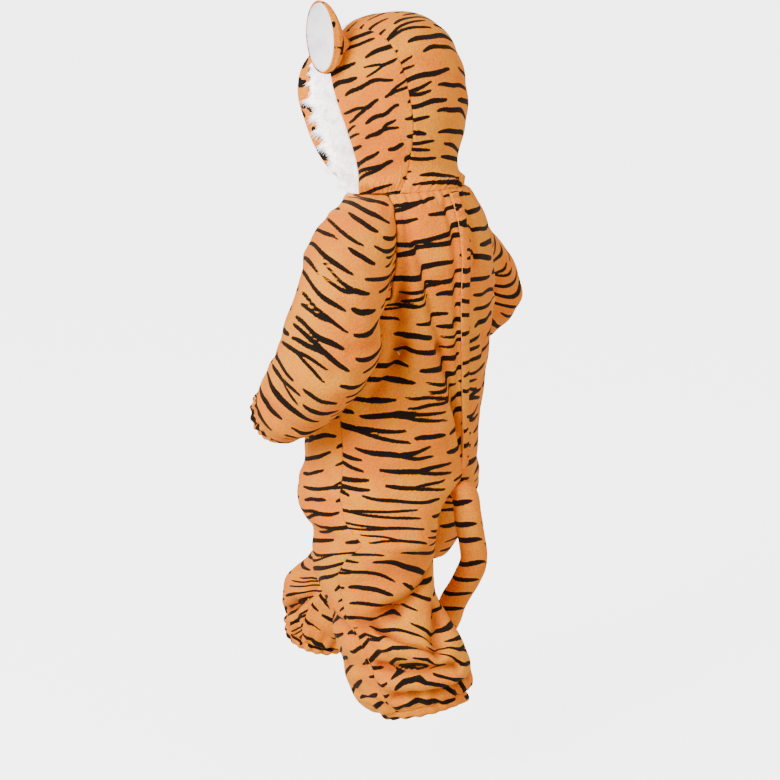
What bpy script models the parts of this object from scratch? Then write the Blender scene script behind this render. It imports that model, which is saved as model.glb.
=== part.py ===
"""A toddler's hooded plush tiger costume, hollow, in the pose it is worn in: mid-step, left leg trailing.

Metres, +Z up. The wearer faces -Y and +X is the wearer's left. Every height in the tables is above the ground the
wearer stands on. The datum empty lowers the whole garment by NECK_HEIGHT, so the origin lies in the neckline, where
the wearer's neck and shoulders hold the garment.
"""

import math

import bpy
import numpy as np

# Driving dimensions
NECK_HEIGHT = 0.700
WALL = 0.003
SEAM_GAP = 0.0003
ARMHOLE_GAP = 0.0010
FUR_GAP = 0.0010
NECK_SEAM_GAP = 0.0012
EAR_WALL = 0.0024
EAR_LINING_WALL = 0.0020
LAID_ON_GAP = 0.0004
LEAST_MITRE = 0.75
# No corner of the cloth runs square to this direction, so it can tell the two ends of any edge apart
RIM_SPLIT_DIRECTION = (0.37, 0.53, 0.76)
# The share of a panel beside its centre seam over which its folds die away, and how full the crown's rows are
FOLD_FADE = 0.25
CROWN_FULLNESS = 0.78
# A forearm that points straight ahead keeps the seam line of its sleeve this many degrees from upright
FORWARD_SLEEVE_LEAN = 60.0
FORWARD_FROM = 70.0
# Points this close are one point of a seam, in decimals of a metre
SEAM_DECIMALS = 6

# Mesh counts
YOKE_ROWS = 11
TRUNK_ROWS = 12
LEG_ROWS = 15
PANEL_COLUMNS = 9
SLEEVE_RINGS = 15
NECK_POINTS_ON_SLEEVE = 3
HOOD_SIDE_ROWS = 9
HOOD_SIDE_COLUMNS = 7
HOOD_CENTRE_COLUMNS = 9

ORANGE = (0.93, 0.46, 0.16, 1.0)
WHITE = (0.93, 0.91, 0.90, 1.0)
PLUSH_ROUGHNESS = 0.95
SHARP_ANGLE = 50.0

# The garment's body, one row a level, from the neckline down. A half ring is an ellipse about the point "ahead"
# (+ is behind the neck's axis), which closure turns into a whole leg's ring: 0 is a half from centre front to
# centre back, 1 a closed ring that touches the middle plane at the inseam. gap moves a leg off that plane, swing
# moves the outer side back, turn and pitch are degrees about +Z and about the side-to-side line.
BODY_COLUMNS = ("height", "gap", "ahead", "swing", "half_width", "half_depth", "closure", "turn", "pitch")
TRUNK = (
    (0.706, 0.000, 0.022, 0.000, 0.066, 0.072, 0.00, -15, 6),
    (0.692, 0.000, 0.024, 0.000, 0.078, 0.080, 0.00, -16, 6),
    (0.668, 0.000, 0.027, 0.000, 0.092, 0.088, 0.00, -17, 4),
    (0.632, 0.000, 0.026, 0.000, 0.102, 0.095, 0.00, -17, 2),
    (0.590, 0.000, 0.021, 0.000, 0.107, 0.100, 0.00, -17, 0),
    (0.548, 0.000, 0.017, 0.000, 0.109, 0.102, 0.00, -15, 0),
    (0.500, 0.000, 0.011, 0.000, 0.110, 0.102, 0.00, -10, 0),
    (0.455, 0.000, 0.006, 0.000, 0.112, 0.101, 0.00, -5, 0),
    (0.410, 0.000, 0.003, 0.000, 0.114, 0.101, 0.00, -1, 0),
    (0.370, 0.000, 0.001, 0.000, 0.113, 0.100, 0.00, 0, 0),
    (0.345, 0.000, 0.000, 0.006, 0.077, 0.096, 0.42, 0, 0),
    (0.324, 0.000, -0.002, 0.022, 0.070, 0.090, 0.75, 0, 0),
    (0.305, 0.000, -0.004, 0.044, 0.069, 0.084, 1.00, 0, 0),
)
# The right hip's own levels, by row of the table above
RIGHT_HIP = {
    10: (0.345, 0.000, 0.000, 0.000, 0.075, 0.089, 0.42, 0, 0),
    11: (0.324, 0.000, -0.002, 0.000, 0.068, 0.080, 0.75, 0, 0),
    12: (0.305, 0.000, -0.006, -0.008, 0.067, 0.077, 1.00, 0, 0),
}
LEFT_LEG = (
    (0.274, 0.002, 0.017, 0.000, 0.068, 0.077, 1.00, -6, 4),
    (0.240, 0.004, 0.022, 0.000, 0.064, 0.071, 1.00, -12, 8),
    (0.212, 0.005, 0.029, 0.000, 0.063, 0.071, 1.00, -14, 10),
    (0.188, 0.005, 0.042, 0.000, 0.064, 0.078, 1.00, -14, 12),
    (0.166, 0.005, 0.053, 0.000, 0.064, 0.083, 1.00, -12, 14),
    (0.142, 0.004, 0.062, 0.000, 0.063, 0.083, 1.00, -10, 15),
    (0.118, 0.004, 0.070, 0.000, 0.061, 0.079, 1.00, -8, 16),
    (0.104, 0.005, 0.075, 0.000, 0.055, 0.068, 1.00, -6, 17),
    (0.096, 0.008, 0.079, 0.000, 0.049, 0.058, 1.00, -6, 18),
)
RIGHT_LEG = (
    (0.270, 0.002, -0.030, 0.000, 0.068, 0.080, 1.00, 0, -10),
    (0.238, 0.004, -0.058, 0.000, 0.063, 0.070, 1.00, 0, -18),
    (0.206, 0.005, -0.086, 0.000, 0.060, 0.061, 1.00, 0, -22),
    (0.186, 0.005, -0.104, 0.000, 0.060, 0.060, 1.00, 0, -22),
    (0.168, 0.005, -0.119, 0.000, 0.062, 0.066, 1.00, 0, -22),
    (0.150, 0.005, -0.127, 0.000, 0.060, 0.064, 1.00, 0, -20),
    (0.134, 0.007, -0.132, 0.000, 0.054, 0.056, 1.00, 0, -20),
    (0.122, 0.012, -0.136, 0.000, 0.046, 0.047, 1.00, 0, -20),
    (0.116, 0.015, -0.139, 0.000, 0.042, 0.042, 1.00, 0, -20),
)
CROTCH_STATION = len(TRUNK) - 1
UNDERARM_STATION = 5

# Where the raglan seams cross each level above the underarm, as a part of the half ring (0 centre front, 1 back)
# Columns: front, back
RAGLAN = (
    (0.370, 0.635),
    (0.310, 0.685),
    (0.285, 0.712),
    (0.280, 0.722),
    (0.290, 0.712),
    (0.500, 0.500),
)

# Sleeves: a ring's centre, its half height from the underarm line to the shoulder line, its half width from front to
# back, and the way the arm points: droop below level, then round from sideways towards the front, in degrees.
SLEEVE_COLUMNS = ("sideways", "ahead", "height", "half_height", "half_width", "droop", "forward")
SLEEVE = {
    "left": (
        (0.124, 0.014, 0.625, 0.068, 0.057, -4, 0),
        (0.154, 0.024, 0.592, 0.057, 0.056, 40, 20),
        (0.166, 0.020, 0.555, 0.049, 0.060, 76, 50),
        (0.165, 0.002, 0.519, 0.046, 0.057, 62, 84),
        (0.158, -0.030, 0.485, 0.042, 0.051, 44, 92),
        (0.151, -0.056, 0.464, 0.037, 0.044, 30, 98),
        (0.144, -0.073, 0.454, 0.031, 0.035, 20, 100),
        (0.141, -0.082, 0.451, 0.027, 0.029, 16, 100),
    ),
    "right": (
        (-0.119, 0.030, 0.611, 0.054, 0.050, 4, 0),
        (-0.147, 0.035, 0.580, 0.052, 0.051, 48, 12),
        (-0.165, 0.032, 0.555, 0.050, 0.053, 66, 60),
        (-0.163, 0.008, 0.533, 0.046, 0.049, 30, 88),
        (-0.155, -0.026, 0.522, 0.042, 0.044, 14, 96),
        (-0.145, -0.054, 0.517, 0.037, 0.038, 6, 104),
        (-0.136, -0.074, 0.515, 0.031, 0.032, 2, 108),
        (-0.131, -0.083, 0.514, 0.027, 0.028, 0, 108),
    ),
}

# Hood: the middle line over the crown with the seam beside it, forehead to nape
CROWN_COLUMNS = ("mid_ahead", "mid_height", "seam_side", "seam_ahead", "seam_height")
CROWN = (
    (-0.012, 0.910, 0.053, -0.012, 0.896),
    (0.018, 0.911, 0.057, 0.014, 0.893),
    (0.048, 0.903, 0.060, 0.036, 0.880),
    (0.073, 0.880, 0.061, 0.051, 0.856),
    (0.088, 0.847, 0.061, 0.060, 0.827),
    (0.093, 0.812, 0.060, 0.065, 0.800),
    (0.090, 0.782, 0.058, 0.064, 0.773),
    (0.084, 0.755, 0.054, 0.058, 0.750),
    (0.083, 0.733, 0.052, 0.053, 0.731),
)
CROWN_CORNER_STATION = 4.5

# The face opening's three lines from the neck up the left side to the middle of the forehead
# Columns: side, ahead, height
HOOD_EDGE = (
    (0.064, -0.008, 0.738),
    (0.073, -0.016, 0.778),
    (0.077, -0.028, 0.815),
    (0.077, -0.036, 0.845),
    (0.069, -0.040, 0.868),
    (0.050, -0.040, 0.887),
    (0.026, -0.041, 0.898),
    (0.000, -0.042, 0.902),
)
FUR_EDGE = (
    (0.058, -0.040, 0.735),
    (0.067, -0.052, 0.777),
    (0.071, -0.062, 0.813),
    (0.070, -0.066, 0.841),
    (0.061, -0.066, 0.862),
    (0.044, -0.065, 0.876),
    (0.022, -0.065, 0.884),
    (0.000, -0.066, 0.888),
)
STRIP_EDGE = (
    (0.053, -0.058, 0.733),
    (0.063, -0.076, 0.777),
    (0.067, -0.086, 0.812),
    (0.064, -0.087, 0.838),
    (0.054, -0.084, 0.855),
    (0.038, -0.082, 0.864),
    (0.020, -0.081, 0.869),
    (0.000, -0.081, 0.871),
)
SEAM_CORNER = 6
# Angles round the neckline from the side seam line, minus to the front, where the hood's pieces meet it
NECK_ANGLES = {"hood_seam": 36.0, "hood_edge": -12.0, "fur_edge": -44.0, "strip_edge": -78.0}
# How thick the fur stands across its band, and which part of that along it, from -1 at the neck's left end over the
# forehead to 1: it lies flat under the ears and where it is sewn in at the neck
FUR_PILE = (0.003, 0.011, 0.012, 0.002)
FUR_STANDS = ((-1.0, 0.3), (-0.85, 1.0), (-0.68, 1.0), (-0.58, 0.1), (0.70, 0.1), (0.78, 1.0), (0.9, 0.8), (1.0, 0.3))
HOOD_SIDE_BULGE = 0.009
HOOD_MIDDLE = (0.0, 0.0, 0.82)

# Ears: the middle of the rim, the way the ear stands, the way its white side faces, and where on the hood's side
# panel it is sewn (parts of the panel's width and height). Side to side values are mirrored on the right.
EAR_COLUMNS = ("centre", "up", "facing", "seat_place")
EARS = {
    "left": ((0.086, -0.041, 0.887), (-0.26, -0.19, 0.95), (0.93, -0.36, 0.08), (0.167, 0.875)),
    "right": ((0.093, -0.036, 0.862), (-0.10, -0.19, 0.97), (0.93, -0.36, -0.10), (0.167, 0.75)),
}
EAR_HALF_HEIGHT = 0.042
EAR_HALF_WIDTH = 0.027
# Columns: size, towards_seat
EAR_SHELL = ((1.00, 0.00), (0.98, 0.18), (0.78, 0.42), (0.42, 0.72))
EAR_SEAT_RADIUS = 0.006
EAR_SIDES = 16

# Tail: the middle of the stuffed tube from its root, and its radius
# Columns: side, ahead, height, radius
TAIL = (
    (0.000, 0.0925, 0.3520, 0.0125),
    (-0.001, 0.1020, 0.3420, 0.0160),
    (-0.003, 0.1060, 0.3180, 0.0165),
    (-0.008, 0.1085, 0.2860, 0.0165),
    (-0.013, 0.1090, 0.2610, 0.0165),
    (-0.018, 0.0990, 0.2380, 0.0165),
    (-0.023, 0.0850, 0.2170, 0.0165),
    (-0.028, 0.0720, 0.1960, 0.0165),
    (-0.033, 0.0640, 0.1760, 0.0160),
    (-0.036, 0.0530, 0.1580, 0.0150),
    (-0.037, 0.0470, 0.1440, 0.0115),
    (-0.037, 0.0450, 0.1360, 0.0050),
)
TAIL_SIDES = 12
TAIL_RINGS = 24

# Gathered casings: length along the limb, waves round it, their depth, how far the casing is drawn in, and the part
# of the waves' depth that is there at the seam
CASING_COLUMNS = ("length", "waves", "wave_depth", "inset", "wave_at_seam")
WRIST_CASING = dict(zip(CASING_COLUMNS, (0.012, 14, 0.0016, 0.0010, 0.6)))
ANKLE_CASING = dict(zip(CASING_COLUMNS, (0.013, 18, 0.0018, 0.0015, 0.6)))
POINTS_PER_WAVE = 3

# Back closure: a plush placket over the centre back seam
PLACKET_WIDTH = 0.013
PLACKET_THICKNESS = 0.003
PLACKET_END_STATION = 9.0
PLACKET_EDGE_LIFT = 0.0003

# Largest folds: where each runs on the left half's surface, as metres round from the side seam (minus to the front)
# and height above the ground, then how wide and how high it stands
FOLD_COLUMNS = ("from_round", "from_height", "to_round", "to_height", "width", "height")
FOLDS = {
    "left": (
        (-0.080, 0.205, 0.060, 0.170, 0.014, -0.006),
        (-0.060, 0.160, 0.090, 0.150, 0.013, -0.005),
        (-0.040, 0.128, 0.100, 0.122, 0.012, -0.005),
        (0.050, 0.212, 0.120, 0.196, 0.012, -0.007),
        (-0.030, 0.560, 0.030, 0.420, 0.016, 0.004),
        (0.095, 0.600, 0.125, 0.420, 0.014, 0.004),
    ),
    "right": (
        (-0.080, 0.175, 0.060, 0.160, 0.013, -0.005),
        (-0.060, 0.140, 0.080, 0.134, 0.012, -0.005),
        (0.060, 0.200, 0.130, 0.190, 0.012, -0.005),
        (0.060, 0.600, 0.080, 0.440, 0.014, 0.004),
    ),
}


def smooth(rows, places):
    """A smooth curve through the rows, read at places from 0 to the last row's number."""
    rows = np.asarray(rows, float)
    places = np.clip(np.asarray(places, float), 0, len(rows) - 1)
    before = np.minimum(places.astype(int), len(rows) - 2)
    slopes = np.gradient(rows, axis=0)
    f = (places - before).reshape((-1,) + (1,) * (rows.ndim - 1))
    return (
        (2 * f**3 - 3 * f**2 + 1) * rows[before]
        + (f**3 - 2 * f**2 + f) * slopes[before]
        + (3 * f**2 - 2 * f**3) * rows[before + 1]
        + (f**3 - f**2) * slopes[before + 1]
    )


def body_table(side):
    """The levels of one half of the body, trunk and leg."""
    trunk = [list(row) for row in TRUNK]
    if side == "right":
        for station, row in RIGHT_HIP.items():
            trunk[station] = list(row)
    legs = {"left": LEFT_LEG, "right": RIGHT_LEG}
    return np.array(trunk + [list(row) for row in legs[side]])


def turned(points, pivot, turn, pitch):
    """Points pitched about the side-to-side line, back up, then turned about +Z, both round the pivot."""
    x, y, z = np.moveaxis(points - pivot, -1, 0)
    y, z = y * np.cos(pitch) - z * np.sin(pitch), y * np.sin(pitch) + z * np.cos(pitch)
    x, y = x * np.cos(turn) - y * np.sin(turn), x * np.sin(turn) + y * np.cos(turn)
    return np.stack([x, y, z], -1) + pivot


def body_rings(side, stations, rounds):
    """Points on one half, and each ring's middle. rounds holds, for each station, parts of the half ring."""
    sign = 1 if side == "left" else -1
    row = dict(zip(BODY_COLUMNS, smooth(body_table(side), stations).T[:, :, None]))
    closure = np.clip(row["closure"], 0, 1)
    reach = math.pi / 2 * (1 + closure)
    angle = reach * (2 * np.asarray(rounds) - 1)
    middle = row["half_width"] * np.sin(math.pi / 2 * closure) + np.clip(row["gap"], 0, None)
    x = middle + row["half_width"] * np.cos(angle)
    widest = middle + row["half_width"]
    y = row["ahead"] + row["half_depth"] * np.sin(angle) + row["swing"] * x / widest
    z = np.broadcast_to(row["height"], x.shape)
    centre_x = np.where(closure > 0.99, middle, 0)
    centre = np.stack([sign * centre_x, row["ahead"] + 0 * centre_x, row["height"] + 0 * centre_x], -1)
    points = turned(
        np.stack([sign * x, y, z], -1), centre, np.radians(row["turn"]), np.radians(row["pitch"])
    )
    return points, np.stack([sign * middle, row["ahead"] + row["swing"] / 2, row["height"]], -1)


def neck_point(side, degrees):
    """A point of the neckline, by its angle from the side seam line, plus to the back."""
    part = (np.asarray(degrees, float) / 90 + 1) / 2
    return body_rings(side, [0.0], np.atleast_1d(part)[None])[0][0]


def surface_normals(grid, inside, closed=False):
    """Unit normals of a grid of points, away from the points inside."""
    wide = np.concatenate([grid[:, -1:], grid, grid[:, :1]], 1) if closed else grid
    across = np.gradient(wide, axis=1)
    along = np.gradient(wide, axis=0)
    if closed:
        across, along = across[:, 1:-1], along[:, 1:-1]
    normals = np.cross(along, across)
    normals /= np.maximum(np.linalg.norm(normals, axis=-1, keepdims=True), 1e-12)
    outward = np.sign(np.sum(normals * (grid - inside), -1, keepdims=True).sum())
    return normals * outward


def fold_relief(round_from_seam, height, folds):
    """How far the cloth stands out at places on a half, from its table of folds."""
    relief = np.zeros_like(height)
    for values in folds:
        fold = dict(zip(FOLD_COLUMNS, values))
        start = np.array([fold["from_round"], fold["from_height"]])
        run = np.array([fold["to_round"], fold["to_height"]]) - start
        place = np.stack([round_from_seam, height], -1) - start
        part = np.clip(place @ run / (run @ run), 0, 1)
        away = np.linalg.norm(place - part[..., None] * run, axis=-1)
        relief += fold["height"] * np.exp(-((away / fold["width"]) ** 2))
    return relief


def body_stations():
    """The levels that the panels' rows are read at: the yoke, the trunk and the legs."""
    last = len(TRUNK) + len(LEFT_LEG) - 1
    yoke = np.linspace(0, UNDERARM_STATION, YOKE_ROWS)
    trunk = np.linspace(UNDERARM_STATION, CROTCH_STATION, TRUNK_ROWS)
    leg = np.linspace(CROTCH_STATION, last, LEG_ROWS)
    return np.concatenate([yoke, trunk[1:], leg[1:]])


def body_half(side):
    """The front and back grids of one half, and the parts of the ring at which each row meets the sleeve."""
    stations = body_stations()
    raglan = np.array(RAGLAN)
    edge = np.full((len(stations), 2), 0.5)
    above = stations <= UNDERARM_STATION
    edge[above] = np.stack([np.interp(stations[above], range(len(raglan)), column) for column in raglan.T], -1)
    share = np.linspace(0, 1, PANEL_COLUMNS)
    rounds = {"front": edge[:, :1] * share, "back": edge[:, 1:] + (1 - edge[:, 1:]) * share}
    grids = {}
    for name, parts in rounds.items():
        grid, centres = body_rings(side, stations, parts)
        seam_part = np.full((len(stations), 1), 0.5)
        seam = body_rings(side, stations, seam_part)[0]
        steps = np.linalg.norm(np.diff(grid, axis=1), axis=-1)
        gone = np.concatenate([np.zeros((len(stations), 1)), np.cumsum(steps, 1)], 1)
        start = np.linalg.norm(grid[:, -1 if name == "front" else 0] - seam[:, 0], axis=-1)[:, None]
        round_from_seam = -(gone[:, -1:] - gone) - start if name == "front" else gone + start
        heights = grid[..., 2]
        normals = surface_normals(grid, centres)
        from_centre = np.abs(share - (0 if name == "front" else 1))
        fade = np.minimum(1, from_centre / FOLD_FADE)
        grids[name] = grid + normals * (fold_relief(round_from_seam, heights, FOLDS[side]) * fade)[..., None]
        grids[name + "_inside"] = centres
    shared = (grids["front"][:, -1] + grids["back"][:, 0]) / 2
    below = stations >= UNDERARM_STATION
    grids["front"][below, -1] = shared[below]
    grids["back"][below, 0] = shared[below]
    inseam = stations >= CROTCH_STATION
    shared = (grids["front"][:, 0] + grids["back"][:, -1]) / 2
    grids["front"][inseam, 0] = shared[inseam]
    grids["back"][inseam, -1] = shared[inseam]
    return grids, stations


def join_halves(left, right, stations):
    """The two halves meet on one line down the centre front and centre back as far as the crotch."""
    trunk = stations <= CROTCH_STATION
    for name, column in (("front", 0), ("back", -1)):
        middle = (left[name][trunk, column] + right[name][trunk, column]) / 2
        left[name][trunk, column] = middle
        right[name][trunk, column] = middle
    crotch = np.flatnonzero(stations == CROTCH_STATION)[0]
    point = (left["front"][crotch, 0] + left["back"][crotch, -1]) / 2
    for half in (left, right):
        half["front"][crotch, 0] = point
        half["back"][crotch, -1] = point


def sleeve_rings(side, half, stations):
    """The sleeve's rings: the armhole loop with the neckline on top, then the rings of the table."""
    sign = 1 if side == "left" else -1
    above = np.flatnonzero(stations < UNDERARM_STATION)
    underarm = half["front"][above[-1] + 1, -1]
    back = half["back"][above, 0][::-1]
    front = half["front"][above, -1]
    neck_parts = np.linspace(RAGLAN[0][1], RAGLAN[0][0], NECK_POINTS_ON_SLEEVE + 2)[1:-1]
    neck = body_rings(side, [0.0], neck_parts[None])[0][0]
    armhole = np.concatenate([underarm[None], back, neck, front])
    count = len(armhole)
    around = 2 * math.pi * np.arange(count) / count
    rings = [armhole]
    for values in SLEEVE[side]:
        row = dict(zip(SLEEVE_COLUMNS, values))
        droop, forward = math.radians(row["droop"]), math.radians(row["forward"])
        along = np.array(
            [
                sign * math.cos(droop) * math.cos(forward),
                -math.cos(droop) * math.sin(forward),
                -math.sin(droop),
            ]
        )
        lean = np.array([sign * math.sin(droop), 0.0, math.cos(droop)])
        if row["forward"] > FORWARD_FROM:
            tilt = math.radians(FORWARD_SLEEVE_LEAN)
            lean = np.array([sign * math.sin(tilt), 0.0, math.cos(tilt)])
        out = lean - (lean @ along) * along
        out /= np.linalg.norm(out)
        backward = sign * np.cross(out, along)
        centre = np.array([row["sideways"], row["ahead"], row["height"]])
        rings.append(
            centre
            - row["half_height"] * np.cos(around)[:, None] * out
            + row["half_width"] * np.sin(around)[:, None] * backward
        )
    return smooth(np.array(rings), np.linspace(0, len(rings) - 1, SLEEVE_RINGS))


def brim_line(table, neck_angle):
    """One of the face opening's lines, from the left side of the neck over the forehead to the right side."""
    left = np.array(table)
    right = (left * (-1, 1, 1))[-2::-1]
    return np.concatenate([neck_point("left", neck_angle), left, right, neck_point("right", neck_angle)])


def hood_grids():
    """The hood's three panels, then the fur band and the front strip, on shared lines."""
    edge = brim_line(HOOD_EDGE, NECK_ANGLES["hood_edge"])
    fur = brim_line(FUR_EDGE, NECK_ANGLES["fur_edge"])
    strip = brim_line(STRIP_EDGE, NECK_ANGLES["strip_edge"])
    last = len(edge) - 1
    side_places = np.linspace(0, SEAM_CORNER, HOOD_SIDE_ROWS)
    top_places = np.linspace(SEAM_CORNER, last - SEAM_CORNER, HOOD_CENTRE_COLUMNS)
    rim_places = np.concatenate([side_places, top_places[1:-1], last - side_places[::-1]])

    # Centre panel: each row crosses from the left seam over the middle line to the right seam
    across = np.linspace(-1, 1, HOOD_CENTRE_COLUMNS)
    dip = (1 - np.sqrt(1 - (CROWN_FULLNESS * across) ** 2)) / (1 - math.sqrt(1 - CROWN_FULLNESS**2))
    rows = [smooth(edge, top_places)]
    for values in CROWN:
        row = dict(zip(CROWN_COLUMNS, values))
        ahead = row["mid_ahead"] + (row["seam_ahead"] - row["mid_ahead"]) * dip
        height = row["mid_height"] + (row["seam_height"] - row["mid_height"]) * dip
        rows.append(np.stack([-across * row["seam_side"], ahead, height], -1))
    half = HOOD_CENTRE_COLUMNS // 2
    nape_angles = np.linspace(NECK_ANGLES["hood_seam"], 90, half + 1)
    nape_left = neck_point("left", nape_angles)
    nape_right = neck_point("right", nape_angles[:-1])[::-1]
    rows.append(np.concatenate([nape_left, nape_right]))
    last_row = len(rows) - 1
    upper = np.linspace(0, CROWN_CORNER_STATION, HOOD_SIDE_COLUMNS)
    lower = np.linspace(CROWN_CORNER_STATION, last_row, HOOD_SIDE_ROWS)
    centre = smooth(np.array(rows), np.concatenate([upper, lower[1:]]))

    grids = {"hood_centre": centre}
    for side in ("left", "right"):
        column = 0 if side == "left" else -1
        seam = centre[:, column]
        front_places = side_places if side == "left" else last - side_places
        front = smooth(edge, front_places)
        neck_angles = np.linspace(NECK_ANGLES["hood_edge"], NECK_ANGLES["hood_seam"], HOOD_SIDE_COLUMNS)
        bottom = neck_point(side, neck_angles)
        top = seam[:HOOD_SIDE_COLUMNS]
        rear = seam[HOOD_SIDE_COLUMNS - 1 :][::-1]
        grids["hood_side_" + side] = patch(bottom, top, front, rear, 1 if side == "left" else -1)
    fur_line, strip_line = smooth(fur, rim_places), smooth(strip, rim_places)
    edge_line = smooth(edge, rim_places)
    parts = np.linspace(0, 1, len(FUR_PILE))[None, :, None]
    grids["hood_fur"] = edge_line[:, None] * (1 - parts) + fur_line[:, None] * parts
    parts = np.linspace(0, 1, 3)[None, :, None]
    grids["hood_strip"] = fur_line[:, None] * (1 - parts) + strip_line[:, None] * parts
    return grids


def fur_pile(rows):
    """How thick the fur stands on each point of its band."""
    along = np.interp(np.linspace(-1, 1, rows), *zip(*FUR_STANDS))
    return along[:, None] * np.array(FUR_PILE)


def patch(bottom, top, front, rear, sign):
    """A four-sided patch between its edges, rounded outwards in the middle."""
    u = np.linspace(0, 1, len(bottom))[None, :, None]
    v = np.linspace(0, 1, len(front))[:, None, None]
    sheet = (1 - v) * bottom[None] + v * top[None] + (1 - u) * front[:, None] + u * rear[:, None]
    sheet = sheet - (
        (1 - u) * (1 - v) * bottom[0] + u * (1 - v) * bottom[-1] + (1 - u) * v * top[0] + u * v * top[-1]
    )
    bulge = HOOD_SIDE_BULGE * np.sin(math.pi * u) ** 0.8 * np.sin(math.pi * v) ** 0.8
    return sheet + bulge * np.array([sign, 0, 0])


def share_normals(panels):
    """Where panels meet, one normal for all of them, so that their walls end in one mitre."""
    total, lean = {}, {}
    for panel in panels.values():
        for point, normal in zip(panel["grid"].reshape(-1, 3), panel["normals"].reshape(-1, 3)):
            key = tuple(np.round(point, SEAM_DECIMALS))
            total[key] = total.get(key, 0) + normal
    for panel in panels.values():
        for point, normal in zip(panel["grid"].reshape(-1, 3), panel["normals"].reshape(-1, 3)):
            key = tuple(np.round(point, SEAM_DECIMALS))
            lean[key] = min(lean.get(key, 1.0), unit(total[key]) @ normal)
    for panel in panels.values():
        flat = panel["normals"].reshape(-1, 3)
        for i, point in enumerate(panel["grid"].reshape(-1, 3)):
            key = tuple(np.round(point, SEAM_DECIMALS))
            flat[i] = unit(total[key]) / max(LEAST_MITRE, lean[key])


def inset(grid, edges):
    """How far each point moves in the sheet so that the named edges draw back by a gap."""
    move = np.zeros_like(grid)
    sides = {"top": (0, 1), "bottom": (-1, -2)}
    for edge, gap in edges.items():
        if edge in sides:
            here, there = sides[edge]
            step = grid[there] - grid[here]
            move[here] += gap * step / np.linalg.norm(step, axis=-1, keepdims=True)
        else:
            here, there = (0, 1) if edge == "start" else (-1, -2)
            step = grid[:, there] - grid[:, here]
            move[:, here] += gap * step / np.linalg.norm(step, axis=-1, keepdims=True)
    return move


def add_object(name, vertices, faces, colour, datum):
    """A smooth-shaded mesh object with its own material, hung from the datum."""
    mesh = bpy.data.meshes.new(name)
    mesh.from_pydata([tuple(v) for v in vertices], [], faces)
    mesh.update()
    points = np.array(vertices)
    volume = sum(
        float(np.dot(points[f[0]], np.cross(points[f[i]], points[f[i + 1]])))
        for f in faces
        for i in range(1, len(f) - 1)
    )
    if volume < 0:
        mesh.flip_normals()
    mesh.shade_smooth()
    mesh.set_sharp_from_angle(angle=math.radians(SHARP_ANGLE))
    material = bpy.data.materials.new(name)
    material.use_nodes = True
    shader = material.node_tree.nodes["Principled BSDF"]
    shader.inputs["Base Color"].default_value = colour
    shader.inputs["Roughness"].default_value = PLUSH_ROUGHNESS
    shader.inputs["Metallic"].default_value = 0.0
    mesh.materials.append(material)
    piece = bpy.data.objects.new(name, mesh)
    bpy.context.scene.collection.objects.link(piece)
    piece.parent = datum
    return piece


def grid_faces(rows, columns, closed, offset=0):
    """A grid of points numbered row by row, as two triangles a cell, split from its first corner."""
    faces = []
    for r in range(rows - 1):
        for c in range(columns if closed else columns - 1):
            d = (c + 1) % columns
            first, second = offset + r * columns + c, offset + r * columns + d
            third, fourth = second + columns, first + columns
            faces += [(first, second, third), (first, third, fourth)]
    return faces


def rim_faces(points, outer, inner, closed):
    """Triangles between matching edge points of the outer and the inner face. Each cell is split from the end that
    comes first along one set direction, so that two panels split the walls of the seam they share alike."""
    faces = []
    for i in range(len(outer) if closed else len(outer) - 1):
        j = (i + 1) % len(outer)
        if (points[inner[j]] - points[inner[i]]) @ RIM_SPLIT_DIRECTION > 0:
            faces += [(outer[j], outer[i], inner[j]), (outer[i], inner[i], inner[j])]
        else:
            faces += [(outer[j], outer[i], inner[i]), (outer[j], inner[i], inner[j])]
    return faces


def wall(name, outer, inner, colour, datum, closed=False):
    """A closed sheet of cloth between its outer and inner grids."""
    rows, columns = outer.shape[:2]
    count = rows * columns
    number = np.arange(count).reshape(rows, columns)
    vertices = np.concatenate([outer.reshape(-1, 3), inner.reshape(-1, 3)])
    faces = grid_faces(rows, columns, closed)
    faces += [tuple(reversed(face)) for face in grid_faces(rows, columns, closed, count)]
    edges = [number[0], number[-1][::-1]]
    faces += [face for edge in edges for face in rim_faces(vertices, edge, edge + count, closed)]
    if not closed:
        sides = [number[::-1, 0], number[:, -1]]
        faces += [face for edge in sides for face in rim_faces(vertices, edge, edge + count, False)]
    return add_object(name, vertices, faces, colour, datum)


def sewn_panel(name, panel, colour, datum, thickness=WALL):
    """One cut panel: its outer face on the grid, its wall inwards, its sewn edges drawn back."""
    move = inset(panel["grid"], panel["edges"])
    outer = panel["grid"] + move
    inner = outer - thickness * panel["normals"]
    if "pile" in panel:
        outer = outer + panel["normals"] * panel["pile"][..., None]
    return wall(name, outer, inner, colour, datum, panel.get("closed", False))


def casing(name, ring, before, size, datum):
    """A narrow gathered tube that carries on from a limb's last ring, with its elastic's small waves."""
    centre = ring.mean(0)
    along = centre - before.mean(0)
    along /= np.linalg.norm(along)
    count = int(size["waves"]) * POINTS_PER_WAVE
    places = np.arange(count) / count * len(ring)
    looped = np.concatenate([ring[-1:], ring, ring[:2]])
    base = smooth(looped, places + 1)
    ripple = size["wave_depth"] * np.cos(2 * math.pi * size["waves"] * np.arange(count) / count)
    out = base - centre
    out -= (out @ along)[:, None] * along
    out /= np.linalg.norm(out, axis=-1, keepdims=True)
    rows = []
    for part, wave in ((0.0, size["wave_at_seam"]), (1.0, 1.0)):
        start = SEAM_GAP + part * size["length"]
        rows.append(base + along * start + out * (wave * ripple - size["inset"])[:, None])
    outer = np.array(rows)
    return wall(name, outer, outer - WALL * out, ORANGE, datum, closed=True)


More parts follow.
